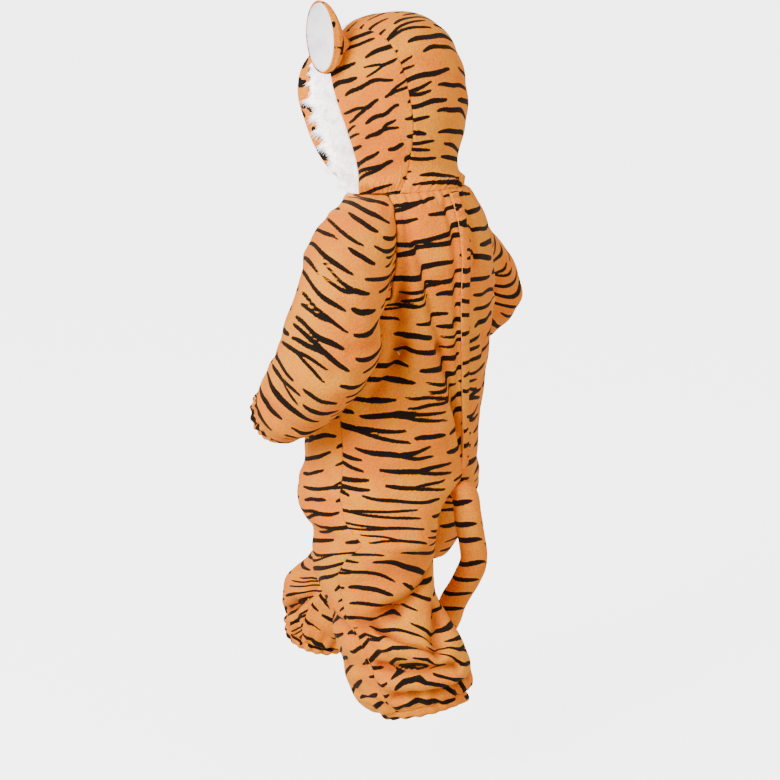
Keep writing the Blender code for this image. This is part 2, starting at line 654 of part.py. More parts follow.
def tube_along(centres, radii, sides):
    """Rings round a path, each square to it."""
    along = np.gradient(centres, axis=0)
    along /= np.linalg.norm(along, axis=-1, keepdims=True)
    sideways = np.array([1.0, 0.0, 0.0])
    first = sideways - (along @ sideways)[:, None] * along
    first /= np.linalg.norm(first, axis=-1, keepdims=True)
    second = np.cross(along, first)
    angle = 2 * math.pi * np.arange(sides) / sides
    return (
        centres[:, None]
        + radii[:, None, None]
        * (np.cos(angle)[None, :, None] * first[:, None] + np.sin(angle)[None, :, None] * second[:, None])
    )


def tail(datum):
    rows = np.array(TAIL)
    places = np.linspace(0, len(rows) - 1, TAIL_RINGS)
    path = smooth(rows, places)
    rings = tube_along(path[:, :3], path[:, 3], TAIL_SIDES)
    count = TAIL_RINGS * TAIL_SIDES
    faces = grid_faces(TAIL_RINGS, TAIL_SIDES, True)
    faces.append(tuple(reversed(range(TAIL_SIDES))))
    faces.append(tuple(range(count - TAIL_SIDES, count)))
    return add_object("tail", rings.reshape(-1, 3), faces, ORANGE, datum)


def ear(side, seat_panel, datum):
    """A cupped ear: an outer shell of striped plush that holds a white lining, sewn on at its seat."""
    table = dict(zip(EAR_COLUMNS, EARS[side]))
    mirror = np.array([1.0 if side == "left" else -1.0, 1.0, 1.0])
    facing = unit(np.array(table["facing"]) * mirror)
    up = np.array(table["up"]) * mirror
    up = unit(up - (up @ facing) * facing)
    across = np.cross(facing, up)
    centre = np.array(table["centre"]) * mirror
    rows, columns = seat_panel["grid"].shape[:2]
    seat_column = round(table["seat_place"][0] * (columns - 1))
    seat_row = round(table["seat_place"][1] * (rows - 1))
    seat_normal = unit(seat_panel["normals"][seat_row, seat_column])
    seat = seat_panel["grid"][seat_row, seat_column] + LAID_ON_GAP * seat_normal
    angle = 2 * math.pi * np.arange(EAR_SIDES) / EAR_SIDES
    oval = EAR_HALF_WIDTH * np.cos(angle)[:, None] * across + EAR_HALF_HEIGHT * np.sin(angle)[:, None] * up
    flat_across = unit(across - (across @ seat_normal) * seat_normal)
    flat_up = unit(up - (up @ seat_normal) * seat_normal)
    disc = EAR_SEAT_RADIUS * (np.cos(angle)[:, None] * flat_across + np.sin(angle)[:, None] * flat_up)
    rings = [centre + (seat - centre) * towards + oval * size for size, towards in EAR_SHELL]
    outer = np.array(rings + [seat + disc])
    shell_inner = outer + EAR_WALL * cup_inward(outer, facing)
    cup_solid("ear_" + side, outer, shell_inner, ORANGE, datum)
    lining_back = shell_inner[1:-1] + 2 * LAID_ON_GAP * cup_inward(shell_inner[1:-1], facing)
    lining_front = lining_back + EAR_LINING_WALL * cup_inward(lining_back, facing)
    cup_solid("ear_inner_" + side, lining_back, lining_front, WHITE, datum)


def cup_inward(rings, facing):
    """From each point of a cup's rings, half way between the cup's opening and the ring's middle."""
    return unit(facing + unit(rings.mean(1, keepdims=True) - rings))


def unit(vectors):
    return vectors / np.maximum(np.linalg.norm(vectors, axis=-1, keepdims=True), 1e-9)


def cup_solid(name, outer, inner, colour, datum):
    """A cup between two stacks of rings, both closed at the last ring."""
    rows, columns = outer.shape[:2]
    count = rows * columns
    faces = grid_faces(rows, columns, True)
    faces.append(tuple(range(count - columns, count)))
    faces += [tuple(reversed(face)) for face in grid_faces(rows, columns, True, count)]
    faces.append(tuple(reversed(range(2 * count - columns, 2 * count))))
    vertices = np.concatenate([outer.reshape(-1, 3), inner.reshape(-1, 3)])
    faces += rim_faces(vertices, np.arange(columns), np.arange(count, count + columns), True)
    return add_object(name, vertices, faces, colour, datum)


def placket(back_left, back_right, datum):
    """A narrow band over the centre back seam, laid on both back panels."""
    rows = np.flatnonzero(body_stations() > PLACKET_END_STATION)[0]
    middle = back_left["grid"][1:rows, -1]
    normals = unit(back_left["normals"][1:rows, -1])
    towards_left = unit(back_left["grid"][1:rows, -2] - middle)
    towards_right = unit(back_right["grid"][1:rows, -2] - middle)
    reach = PLACKET_WIDTH / 2
    base = np.stack([middle + towards_left * reach, middle, middle + towards_right * reach], 1)
    out = normals[:, None]
    lift = np.array([LAID_ON_GAP + PLACKET_EDGE_LIFT, LAID_ON_GAP, LAID_ON_GAP + PLACKET_EDGE_LIFT])[None, :, None]
    inner = base + lift * out
    outer = inner + PLACKET_THICKNESS * out
    return wall("back_placket", outer, inner, ORANGE, datum)


def build():
    for old in list(bpy.data.objects):
        bpy.data.objects.remove(old)
    datum = bpy.data.objects.new("ground_datum", None)
    datum.location = (0, 0, -NECK_HEIGHT)
    bpy.context.scene.collection.objects.link(datum)

    left, stations = body_half("left")
    right, _ = body_half("right")
    join_halves(left, right, stations)
    panels = {}
    sewn = SEAM_GAP / 2
    sleeve_side = np.where(stations <= UNDERARM_STATION, ARMHOLE_GAP, sewn)[:, None]
    outer_edge = {"front": "end", "back": "start"}
    for side, half in (("left", left), ("right", right)):
        for name in ("front", "back"):
            panels[f"{name}_{side}"] = {
                "grid": half[name],
                "normals": surface_normals(half[name], half[name + "_inside"]),
                "edges": {"start": sewn, "end": sewn, "top": sewn, "bottom": sewn, outer_edge[name]: sleeve_side},
            }
        rings = sleeve_rings(side, half, stations)
        panels["sleeve_" + side] = {
            "grid": rings,
            "normals": surface_normals(rings, rings.mean(1, keepdims=True), closed=True),
            "edges": {"top": ARMHOLE_GAP, "bottom": sewn},
            "closed": True,
        }
    hood = hood_grids()
    for name, grid in hood.items():
        normals = surface_normals(grid, np.array(HOOD_MIDDLE))
        if name.startswith("hood_side"):
            normals[-1, -1] = unit(normals[-1, -2] + normals[-2, -1])
        panels[name] = {"grid": grid, "normals": normals}
    panels["hood_centre"]["edges"] = {"start": sewn, "end": sewn, "top": sewn, "bottom": NECK_SEAM_GAP}
    for side in ("left", "right"):
        panels["hood_side_" + side]["edges"] = {"start": sewn, "end": sewn, "top": NECK_SEAM_GAP, "bottom": sewn}
    panels["hood_fur"]["edges"] = {"start": sewn, "end": FUR_GAP, "top": NECK_SEAM_GAP, "bottom": NECK_SEAM_GAP}
    panels["hood_fur"]["pile"] = fur_pile(len(hood["hood_fur"]))
    panels["hood_strip"]["edges"] = {"start": sewn, "end": sewn, "top": NECK_SEAM_GAP, "bottom": NECK_SEAM_GAP}
    share_normals(panels)

    for name, panel in panels.items():
        sewn_panel(name, panel, WHITE if name == "hood_fur" else ORANGE, datum)
    for side in ("left", "right"):
        rings = panels["sleeve_" + side]["grid"]
        casing("wrist_casing_" + side, rings[-1], rings[-3], WRIST_CASING, datum)
        front, back = panels["front_" + side]["grid"], panels["back_" + side]["grid"]
        leg = [np.concatenate([front[row], back[row, 1:-1]]) for row in (-1, -3)]
        casing("ankle_casing_" + side, leg[0], leg[1], ANKLE_CASING, datum)
        ear(side, panels["hood_side_" + side], datum)
    placket(panels["back_left"], panels["back_right"], datum)
    tail(datum)


build()
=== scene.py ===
"""The looks of a toddler's hooded plush tiger costume, worn mid-step with no wearer in it.

Metres, +Z up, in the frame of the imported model: the wearer faces -Y and +X is the wearer's left. The tables
give heights above the ground. The origin is NECK_HEIGHT above it, in the neckline.
"""

import math

import bpy
import numpy as np
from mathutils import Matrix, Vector


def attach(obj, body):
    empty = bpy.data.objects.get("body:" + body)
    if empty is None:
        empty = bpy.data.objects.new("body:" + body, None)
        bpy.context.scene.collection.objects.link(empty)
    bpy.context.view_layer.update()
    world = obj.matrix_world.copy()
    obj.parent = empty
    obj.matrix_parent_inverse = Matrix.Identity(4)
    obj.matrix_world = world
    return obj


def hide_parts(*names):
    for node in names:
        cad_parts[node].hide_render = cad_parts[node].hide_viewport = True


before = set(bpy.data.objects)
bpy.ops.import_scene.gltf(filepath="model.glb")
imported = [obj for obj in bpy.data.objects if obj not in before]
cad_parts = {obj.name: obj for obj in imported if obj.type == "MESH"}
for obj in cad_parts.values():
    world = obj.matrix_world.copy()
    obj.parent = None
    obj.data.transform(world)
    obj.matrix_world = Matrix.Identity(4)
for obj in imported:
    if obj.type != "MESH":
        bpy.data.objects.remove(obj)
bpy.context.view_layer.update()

# Driving dimensions
NECK_HEIGHT = 0.700
WALL = 0.003
EAR_WALL = 0.0024
EAR_LINING_WALL = 0.0020
LAID_ON_GAP = 0.0004
# The share of a panel beside its centre seam over which its folds die away, and how full the crown's
# rows are
FOLD_FADE = 0.25
CROWN_FULLNESS = 0.78
# A forearm that points straight ahead keeps the seam line of its sleeve this many degrees from upright
FORWARD_SLEEVE_LEAN = 60.0
FORWARD_FROM = 70.0

# Rows and columns of the pattern that the finer sheets are drawn through
YOKE_ROWS = 11
TRUNK_ROWS = 12
LEG_ROWS = 15
PANEL_COLUMNS = 9
SLEEVE_RINGS = 15
NECK_POINTS_ON_SLEEVE = 3
HOOD_SIDE_ROWS = 9
HOOD_SIDE_COLUMNS = 7
HOOD_CENTRE_COLUMNS = 9

# The garment's body, one row a level, from the neckline down. A half ring is an ellipse about the point
# "ahead" (+ is behind the neck's axis), which closure turns into a whole leg's ring: 0 is a half from
# centre front to centre back, 1 a closed ring that touches the middle plane at the inseam. gap moves a
# leg off that plane, swing moves the outer side back, turn and pitch are degrees about +Z and about the
# side-to-side line.
BODY_COLUMNS = ("height", "gap", "ahead", "swing", "half_width", "half_depth", "closure", "turn", "pitch")
TRUNK = (
    (0.706, 0.000, 0.022, 0.000, 0.066, 0.072, 0.00, -15, 6),
    (0.692, 0.000, 0.024, 0.000, 0.078, 0.080, 0.00, -16, 6),
    (0.668, 0.000, 0.027, 0.000, 0.092, 0.088, 0.00, -17, 4),
    (0.632, 0.000, 0.026, 0.000, 0.102, 0.095, 0.00, -17, 2),
    (0.590, 0.000, 0.021, 0.000, 0.107, 0.100, 0.00, -17, 0),
    (0.548, 0.000, 0.017, 0.000, 0.109, 0.102, 0.00, -15, 0),
    (0.500, 0.000, 0.011, 0.000, 0.110, 0.102, 0.00, -10, 0),
    (0.455, 0.000, 0.006, 0.000, 0.112, 0.101, 0.00, -5, 0),
    (0.410, 0.000, 0.003, 0.000, 0.114, 0.101, 0.00, -1, 0),
    (0.370, 0.000, 0.001, 0.000, 0.113, 0.100, 0.00, 0, 0),
    (0.345, 0.000, 0.000, 0.006, 0.077, 0.096, 0.42, 0, 0),
    (0.324, 0.000, -0.002, 0.022, 0.070, 0.090, 0.75, 0, 0),
    (0.305, 0.000, -0.004, 0.044, 0.069, 0.084, 1.00, 0, 0),
)
# The right hip's own levels, by row of the table above
RIGHT_HIP = {
    10: (0.345, 0.000, 0.000, 0.000, 0.075, 0.089, 0.42, 0, 0),
    11: (0.324, 0.000, -0.002, 0.000, 0.068, 0.080, 0.75, 0, 0),
    12: (0.305, 0.000, -0.006, -0.008, 0.067, 0.077, 1.00, 0, 0),
}
LEFT_LEG = (
    (0.274, 0.002, 0.017, 0.000, 0.068, 0.077, 1.00, -6, 4),
    (0.240, 0.004, 0.022, 0.000, 0.064, 0.071, 1.00, -12, 8),
    (0.212, 0.005, 0.029, 0.000, 0.063, 0.071, 1.00, -14, 10),
    (0.188, 0.005, 0.042, 0.000, 0.064, 0.078, 1.00, -14, 12),
    (0.166, 0.005, 0.053, 0.000, 0.064, 0.083, 1.00, -12, 14),
    (0.142, 0.004, 0.062, 0.000, 0.063, 0.083, 1.00, -10, 15),
    (0.118, 0.004, 0.070, 0.000, 0.061, 0.079, 1.00, -8, 16),
    (0.104, 0.005, 0.075, 0.000, 0.055, 0.068, 1.00, -6, 17),
    (0.096, 0.008, 0.079, 0.000, 0.049, 0.058, 1.00, -6, 18),
)
RIGHT_LEG = (
    (0.270, 0.002, -0.030, 0.000, 0.068, 0.080, 1.00, 0, -10),
    (0.238, 0.004, -0.058, 0.000, 0.063, 0.070, 1.00, 0, -18),
    (0.206, 0.005, -0.086, 0.000, 0.060, 0.061, 1.00, 0, -22),
    (0.186, 0.005, -0.104, 0.000, 0.060, 0.060, 1.00, 0, -22),
    (0.168, 0.005, -0.119, 0.000, 0.062, 0.066, 1.00, 0, -22),
    (0.150, 0.005, -0.127, 0.000, 0.060, 0.064, 1.00, 0, -20),
    (0.134, 0.007, -0.132, 0.000, 0.054, 0.056, 1.00, 0, -20),
    (0.122, 0.012, -0.136, 0.000, 0.046, 0.047, 1.00, 0, -20),
    (0.116, 0.015, -0.139, 0.000, 0.042, 0.042, 1.00, 0, -20),
)
CROTCH_STATION = len(TRUNK) - 1
UNDERARM_STATION = 5

# Where the raglan seams cross each level above the underarm, as a part of the half ring (0 centre
# front, 1 back)
# Columns: front, back
RAGLAN = (
    (0.370, 0.635),
    (0.310, 0.685),
    (0.285, 0.712),
    (0.280, 0.722),
    (0.290, 0.712),
    (0.500, 0.500),
)

# Sleeves: a ring's centre, its half height from the underarm line to the shoulder line, its half width
# from front to back, and the way the arm points: droop below level, then round from sideways towards
# the front, in degrees.
SLEEVE_COLUMNS = ("sideways", "ahead", "height", "half_height", "half_width", "droop", "forward")
SLEEVE = {
    "left": (
        (0.124, 0.014, 0.625, 0.068, 0.057, -4, 0),
        (0.154, 0.024, 0.592, 0.057, 0.056, 40, 20),
        (0.166, 0.020, 0.555, 0.049, 0.060, 76, 50),
        (0.165, 0.002, 0.519, 0.046, 0.057, 62, 84),
        (0.158, -0.030, 0.485, 0.042, 0.051, 44, 92),
        (0.151, -0.056, 0.464, 0.037, 0.044, 30, 98),
        (0.144, -0.073, 0.454, 0.031, 0.035, 20, 100),
        (0.141, -0.082, 0.451, 0.027, 0.029, 16, 100),
    ),
    "right": (
        (-0.119, 0.030, 0.611, 0.054, 0.050, 4, 0),
        (-0.147, 0.035, 0.580, 0.052, 0.051, 48, 12),
        (-0.165, 0.032, 0.555, 0.050, 0.053, 66, 60),
        (-0.163, 0.008, 0.533, 0.046, 0.049, 30, 88),
        (-0.155, -0.026, 0.522, 0.042, 0.044, 14, 96),
        (-0.145, -0.054, 0.517, 0.037, 0.038, 6, 104),
        (-0.136, -0.074, 0.515, 0.031, 0.032, 2, 108),
        (-0.131, -0.083, 0.514, 0.027, 0.028, 0, 108),
    ),
}

# Hood: the middle line over the crown with the seam beside it, forehead to nape
CROWN_COLUMNS = ("mid_ahead", "mid_height", "seam_side", "seam_ahead", "seam_height")
CROWN = (
    (-0.012, 0.910, 0.053, -0.012, 0.896),
    (0.018, 0.911, 0.057, 0.014, 0.893),
    (0.048, 0.903, 0.060, 0.036, 0.880),
    (0.073, 0.880, 0.061, 0.051, 0.856),
    (0.088, 0.847, 0.061, 0.060, 0.827),
    (0.093, 0.812, 0.060, 0.065, 0.800),
    (0.090, 0.782, 0.058, 0.064, 0.773),
    (0.084, 0.755, 0.054, 0.058, 0.750),
    (0.083, 0.733, 0.052, 0.053, 0.731),
)
CROWN_CORNER_STATION = 4.5

# The face opening's three lines from the neck up the left side to the middle of the forehead
# Columns: side, ahead, height
HOOD_EDGE = (
    (0.064, -0.008, 0.738),
    (0.073, -0.016, 0.778),
    (0.077, -0.028, 0.815),
    (0.077, -0.036, 0.845),
    (0.069, -0.040, 0.868),
    (0.050, -0.040, 0.887),
    (0.026, -0.041, 0.898),
    (0.000, -0.042, 0.902),
)
FUR_EDGE = (
    (0.058, -0.040, 0.735),
    (0.067, -0.052, 0.777),
    (0.071, -0.062, 0.813),
    (0.070, -0.066, 0.841),
    (0.061, -0.066, 0.862),
    (0.044, -0.065, 0.876),
    (0.022, -0.065, 0.884),
    (0.000, -0.066, 0.888),
)
STRIP_EDGE = (
    (0.053, -0.058, 0.733),
    (0.063, -0.076, 0.777),
    (0.067, -0.086, 0.812),
    (0.064, -0.087, 0.838),
    (0.054, -0.084, 0.855),
    (0.038, -0.082, 0.864),
    (0.020, -0.081, 0.869),
    (0.000, -0.081, 0.871),
)
SEAM_CORNER = 6
# Angles round the neckline from the side seam line, minus to the front, where the hood's pieces meet it
NECK_ANGLES = {"hood_seam": 36.0, "hood_edge": -12.0, "fur_edge": -44.0, "strip_edge": -78.0}
# How thick the fur stands across its band, and which part of that along it, from -1 at the neck's left
# end over the forehead to 1: it lies flat under the ears and where it is sewn in at the neck
FUR_PILE = (0.003, 0.011, 0.012, 0.002)
FUR_STANDS = (
    (-1.0, 0.3),
    (-0.85, 1.0),
    (-0.68, 1.0),
    (-0.58, 0.1),
    (0.70, 0.1),
    (0.78, 1.0),
    (0.9, 0.8),
    (1.0, 0.3),
)
HOOD_SIDE_BULGE = 0.009
HOOD_MIDDLE = (0.0, 0.0, 0.82)

# Ears: the middle of the rim, the way the ear stands, the way its white side faces, and where on the
# hood's side panel it is sewn (parts of the panel's width and height). Side to side values are mirrored
# on the right.
EAR_COLUMNS = ("centre", "up", "facing", "seat_place")
EARS = {
    "left": ((0.086, -0.041, 0.887), (-0.26, -0.19, 0.95), (0.93, -0.36, 0.08), (0.167, 0.875)),
    "right": ((0.093, -0.036, 0.862), (-0.10, -0.19, 0.97), (0.93, -0.36, -0.10), (0.167, 0.75)),
}
EAR_HALF_HEIGHT = 0.042
EAR_HALF_WIDTH = 0.027
# Columns: size, towards_seat
EAR_SHELL = ((1.00, 0.00), (0.98, 0.18), (0.78, 0.42), (0.42, 0.72))
EAR_SEAT_RADIUS = 0.006

# Tail: the middle of the stuffed tube from its root, and its radius
# Columns: side, ahead, height, radius
TAIL = (
    (0.000, 0.0925, 0.3520, 0.0125),
    (-0.001, 0.1020, 0.3420, 0.0160),
    (-0.003, 0.1060, 0.3180, 0.0165),
    (-0.008, 0.1085, 0.2860, 0.0165),
    (-0.013, 0.1090, 0.2610, 0.0165),
    (-0.018, 0.0990, 0.2380, 0.0165),
    (-0.023, 0.0850, 0.2170, 0.0165),
    (-0.028, 0.0720, 0.1960, 0.0165),
    (-0.033, 0.0640, 0.1760, 0.0160),
    (-0.036, 0.0530, 0.1580, 0.0150),
    (-0.037, 0.0470, 0.1440, 0.0115),
    (-0.037, 0.0450, 0.1360, 0.0050),
)

# Gathered casings: length along the limb, waves round it, their depth, how far the casing is drawn in,
# and the part of the waves' depth that is there at the seam
CASING_COLUMNS = ("length", "waves", "wave_depth", "inset", "wave_at_seam")
WRIST_CASING = dict(zip(CASING_COLUMNS, (0.012, 14, 0.0016, 0.0010, 0.6)))
ANKLE_CASING = dict(zip(CASING_COLUMNS, (0.013, 18, 0.0018, 0.0015, 0.6)))

# Back closure: a plush placket over the centre back seam
PLACKET_WIDTH = 0.013
PLACKET_THICKNESS = 0.003
PLACKET_END_STATION = 9.0
PLACKET_EDGE_LIFT = 0.0003
PLACKET_INSIDE = 0.05
# It puckers near the neck: how far down, how deep, how long a pucker is, and how far it slants for each
# metre across
PUCKER_COLUMNS = ("reach", "depth", "length", "slant")
PUCKER = dict(zip(PUCKER_COLUMNS, (0.05, 0.0012, 0.011, 80)))

# Largest folds: where each runs on a half's surface, as metres round from the side seam (minus to the
# front) and height above the ground, then how wide and how high it stands
FOLD_COLUMNS = ("from_round", "from_height", "to_round", "to_height", "width", "height")
FOLDS = {
    "left": (
        (-0.080, 0.205, 0.060, 0.170, 0.014, -0.006),
        (-0.060, 0.160, 0.090, 0.150, 0.013, -0.005),
        (-0.040, 0.128, 0.100, 0.122, 0.012, -0.005),
        (0.050, 0.212, 0.120, 0.196, 0.012, -0.007),
        (-0.030, 0.560, 0.030, 0.420, 0.016, 0.004),
        (0.095, 0.600, 0.125, 0.420, 0.014, 0.004),
    ),
    "right": (
        (-0.080, 0.175, 0.060, 0.160, 0.013, -0.005),
        (-0.060, 0.140, 0.080, 0.134, 0.012, -0.005),
        (0.060, 0.200, 0.130, 0.190, 0.012, -0.005),
        (0.060, 0.600, 0.080, 0.440, 0.014, 0.004),
    ),
}

# How finely the sheets are drawn: points down and across
BODY_POINTS = (360, 112)
SLEEVE_POINTS = (190, 200)
HOOD_SIDE_POINTS = (130, 90)
HOOD_CENTRE_POINTS = (220, 90)
HOOD_STRIP_POINTS = (320, 22)
HOOD_FUR_POINTS = (320, 40)
PLACKET_POINTS = (260, 24)
INNER_STEP = 4
ALL_EDGES = ("start", "end", "top", "bottom")

# The rolled edge of a sewn panel, and the depth of its seam
ROLL = 0.0045
SEAM_DEPTH = 0.0016

# Stripes: the slope of a panel's strokes from its rows in degrees, the distance between rows, a stroke's
# shortest and longest length, its least and greatest half thickness, and the seed of its pattern
STROKE_COLUMNS = ("slope", "pitch", "shortest", "longest", "thin", "thick", "seed")
STROKES = {
    "front_left": (6, 0.0195, 0.034, 0.105, 0.0025, 0.0036, 11),
    "front_right": (-6, 0.0195, 0.034, 0.105, 0.0025, 0.0036, 12),
    "back_left": (-11, 0.0200, 0.040, 0.125, 0.0026, 0.0038, 43),
    "back_right": (-6, 0.0195, 0.036, 0.105, 0.0025, 0.0037, 14),
    "sleeve_left": (-28, 0.0195, 0.040, 0.120, 0.0028, 0.0037, 15),
    "sleeve_right": (4, 0.0195, 0.036, 0.100, 0.0027, 0.0037, 16),
    "hood_side_left": (16, 0.0175, 0.036, 0.080, 0.0023, 0.0034, 17),
    "hood_side_right": (16, 0.0175, 0.036, 0.080, 0.0023, 0.0034, 18),
    "hood_centre": (11, 0.0175, 0.038, 0.090, 0.0024, 0.0035, 19),
    "hood_strip": (62, 0.0120, 0.022, 0.045, 0.0028, 0.0038, 20),
    "back_placket": (3, 0.0185, 0.020, 0.050, 0.0024, 0.0034, 21),
    "ear": (-30, 0.0170, 0.012, 0.026, 0.0022, 0.0030, 22),
    "casing": (10, 0.0190, 0.020, 0.060, 0.0024, 0.0034, 23),
}
FAR_FROM_STROKES = 0.03
# Pieces that share a row of the table keep their own pattern with a seed this far on
OTHER_PATTERN = 100
# A stroke's form. How far it strays from its row, how much it bows or tilts and how deep it waves are
# parts of the distance between rows. Where it is heaviest is a part of its length, and its ends keep a
# part of its thickness.
STROKE_STRAYS = 0.18
STROKE_BENDS = 0.3
STROKE_WAVES = 0.08
WAVES_IN_STROKE = 1.7
HEAVIEST_AT = (0.3, 0.7)
END_THICKNESS = 0.52
TAPER_RATE = 2.2
TAPER_POWER = 0.6
GAP_BETWEEN_STROKES = (0.007, 0.022)
# Forks: the share of the longer strokes that fork, where along it, how far apart the branches end in row
# distances, how early they open, and the part of the thickness that a branch keeps
FORKED_SHARE = 0.36
FORKS_FROM_LENGTH = 0.5
FORK_AT = (0.1, 0.6)
FORK_SPREAD = (0.50, 0.70)
FORK_OPENS = 0.6
BRANCH_THICKNESS = 0.75
# How far round a stroke its field is worked out: metres beyond its ends, and row distances to either side
BEYOND_ENDS = 0.004
BESIDE_ROWS = 1.3
# Stripes across the tail: the distance between them, how far one runs round it in degrees, how it
# leans, its half thickness, how far it strays along the tail as a part of the distance, and round it in
# degrees
TAIL_STROKES = {
    "pitch": 0.0270,
    "turns": (150.0, 195.0),
    "lean": 0.0140,
    "lean_range": (0.8, 1.1),
    "half": 0.0037,
    "strays": 0.12,
    "strays_round": 12.0,
    "first": 0.6,
    "last": 0.4,
    "seed": 31,
}

# Small folds: where each runs on a body panel, as metres from the centre line or the inseam and height
# above the ground, or on a sleeve, as metres from its top line (plus to the front) and from its hem.
# Then its width, how high it stands, and how much cloth it tucks away, which breaks the stripes
FINE_FOLD_COLUMNS = FOLD_COLUMNS + ("tuck",)
FINE_FOLDS = {
    "back_left": (
        (0.064, 0.650, 0.037, 0.532, 0.007, -0.0065, 0.010),
        (0.037, 0.532, 0.002, 0.406, 0.007, -0.0065, 0.012),
        (0.071, 0.636, 0.051, 0.532, 0.014, 0.0040, 0.000),
        (0.070, 0.680, 0.085, 0.594, 0.010, -0.0060, 0.000),
        (0.085, 0.594, 0.092, 0.499, 0.011, -0.0070, 0.000),
        (0.017, 0.696, 0.012, 0.560, 0.005, -0.0040, 0.008),
        (0.012, 0.560, 0.010, 0.413, 0.005, -0.0030, 0.006),
        (0.082, 0.536, 0.125, 0.479, 0.008, -0.0050, 0.004),
        (0.072, 0.270, 0.146, 0.225, 0.010, -0.0105, 0.012),
        (0.146, 0.225, 0.214, 0.195, 0.010, -0.0085, 0.008),
        (0.088, 0.258, 0.150, 0.241, 0.014, 0.0030, 0.000),
        (0.142, 0.181, 0.173, 0.202, 0.008, -0.0085, 0.010),
        (0.189, 0.183, 0.140, 0.169, 0.010, 0.0040, 0.000),
        (0.228, 0.156, 0.120, 0.160, 0.008, -0.0110, 0.014),
        (0.224, 0.137, 0.129, 0.149, 0.012, 0.0050, 0.000),
        (0.198, 0.121, 0.077, 0.137, 0.008, -0.0095, 0.012),
        (0.169, 0.100, 0.088, 0.115, 0.006, -0.0040, 0.006),
        (0.082, 0.221, 0.140, 0.177, 0.008, -0.0085, 0.010),
    ),
    "front_left": (
        (0.165, 0.208, 0.212, 0.192, 0.010, -0.0050, 0.006),
        (0.157, 0.141, 0.221, 0.152, 0.009, -0.0050, 0.006),
        (0.167, 0.113, 0.200, 0.112, 0.008, -0.0050, 0.006),
        (0.018, 0.640, 0.024, 0.480, 0.010, -0.0030, 0.000),
    ),
    "front_right": (
        (0.047, 0.146, 0.000, 0.182, 0.008, -0.0095, 0.010),
        (0.029, 0.170, 0.004, 0.138, 0.006, -0.0040, 0.006),
        (0.064, 0.207, 0.012, 0.190, 0.008, -0.0030, 0.000),
        (0.018, 0.640, 0.024, 0.480, 0.010, -0.0030, 0.000),
    ),
    "back_right": (
        (0.017, 0.687, 0.018, 0.625, 0.006, -0.0040, 0.006),
        (0.022, 0.582, 0.050, 0.515, 0.008, -0.0030, 0.000),
        (0.072, 0.240, 0.146, 0.215, 0.010, -0.0060, 0.008),
        (0.060, 0.190, 0.170, 0.180, 0.009, -0.0060, 0.010),
        (0.012, 0.142, 0.043, 0.122, 0.007, -0.0040, 0.006),
        (0.060, 0.150, 0.160, 0.140, 0.009, -0.0060, 0.010),
    ),
    "sleeve_left": (
        (0.009, 0.144, -0.041, 0.167, 0.014, -0.0035, 0.000),
        (-0.014, 0.240, -0.081, 0.255, 0.014, -0.0030, 0.000),
        (-0.010, 0.082, -0.072, 0.100, 0.010, -0.0030, 0.000),
        (-0.009, 0.048, -0.057, 0.066, 0.008, -0.0030, 0.000),
        (-0.112, 0.246, -0.050, 0.201, 0.010, -0.0040, 0.003),
    ),
    "sleeve_right": (
        (0.020, 0.120, 0.060, 0.150, 0.012, -0.0035, 0.000),
        (0.030, 0.180, 0.080, 0.200, 0.012, -0.0040, 0.004),
        (0.010, 0.070, 0.070, 0.090, 0.009, -0.0030, 0.000),
    ),
}
# How sharply a tuck breaks the stripes, how far they jump along it for each metre tucked, how many fold
# widths that reaches to the side, and how steeply it starts at the fold's ends
TUCK_EDGE = 0.0015
TUCK_JUMP = 0.7
TUCK_REACH = 6
TUCK_START = 4
# Gathers: how far they reach from the sewn edge, their number along it and their depth. A second,
# closer run of them makes the first uneven.
GATHER_COLUMNS = ("reach", "waves", "depth")
CUFF_GATHERS = dict(zip(GATHER_COLUMNS, (0.034, 15, 0.0030)))
ANKLE_GATHERS = dict(zip(GATHER_COLUMNS, (0.042, 12, 0.0045)))
NECK_GATHERS = dict(zip(GATHER_COLUMNS, (0.030, 11, 0.0024)))
GATHER_RUNS = (1, 1.6)
GATHER_STRENGTH = (0.5, 0.7)
GATHER_FADE = 1.5
# Slow waves of the plush: how many run over each other, how many crests a metre has down and across,
# and how high they stand on each piece
WAVE_COUNT = 7
CRESTS_DOWN = (12, 30)
CRESTS_ACROSS = (8, 22)
WAVE_HEIGHT = {"body": 0.0018, "sleeve": 0.0020, "hood": 0.0014, "fur": 0.0022, "tail": 0.0010}
# Seeds of all that is uneven
SEED = {
    "ankle_gathers": 5,
    "neck_gathers": 7,
    "cuff_gathers": 17,
    "body_waves": 31,
    "sleeve_waves": 41,
    "hood_waves": 51,
    "hood_gathers": 57,
    "fur_waves": 61,
    "strands": 62,
    "tail_waves": 71,
}
# Relief grows from its least share at a sewn edge to its whole height this far in
EDGE_QUIET = 0.010
LEAST_RELIEF = {"body": 0.25, "hood": 0.2}
# The hood blouses over the neck seam: how far above it and how much
BLOUSE_COLUMNS = ("above", "width", "height")
BLOUSE = dict(zip(BLOUSE_COLUMNS, (0.011, 0.009, 0.0040)))
# A casing: how far its hem turns under and how suddenly, how uneven its waves are and how often that
# comes round, how much it is drawn in at its edges and how much less in its belly, and its points for a
# wave and along it
HEM_TURN = 0.0050
HEM_TURN_POWER = 4
CASING_UNEVEN = 0.8
UNEVEN_TURNS = 3
CASING_DRAWN_IN = 1.6
BELLY_LET_OUT = 0.9
BELLY_POWER = 0.6
CASING_POINTS_A_WAVE = 12
CASING_ROWS = 16

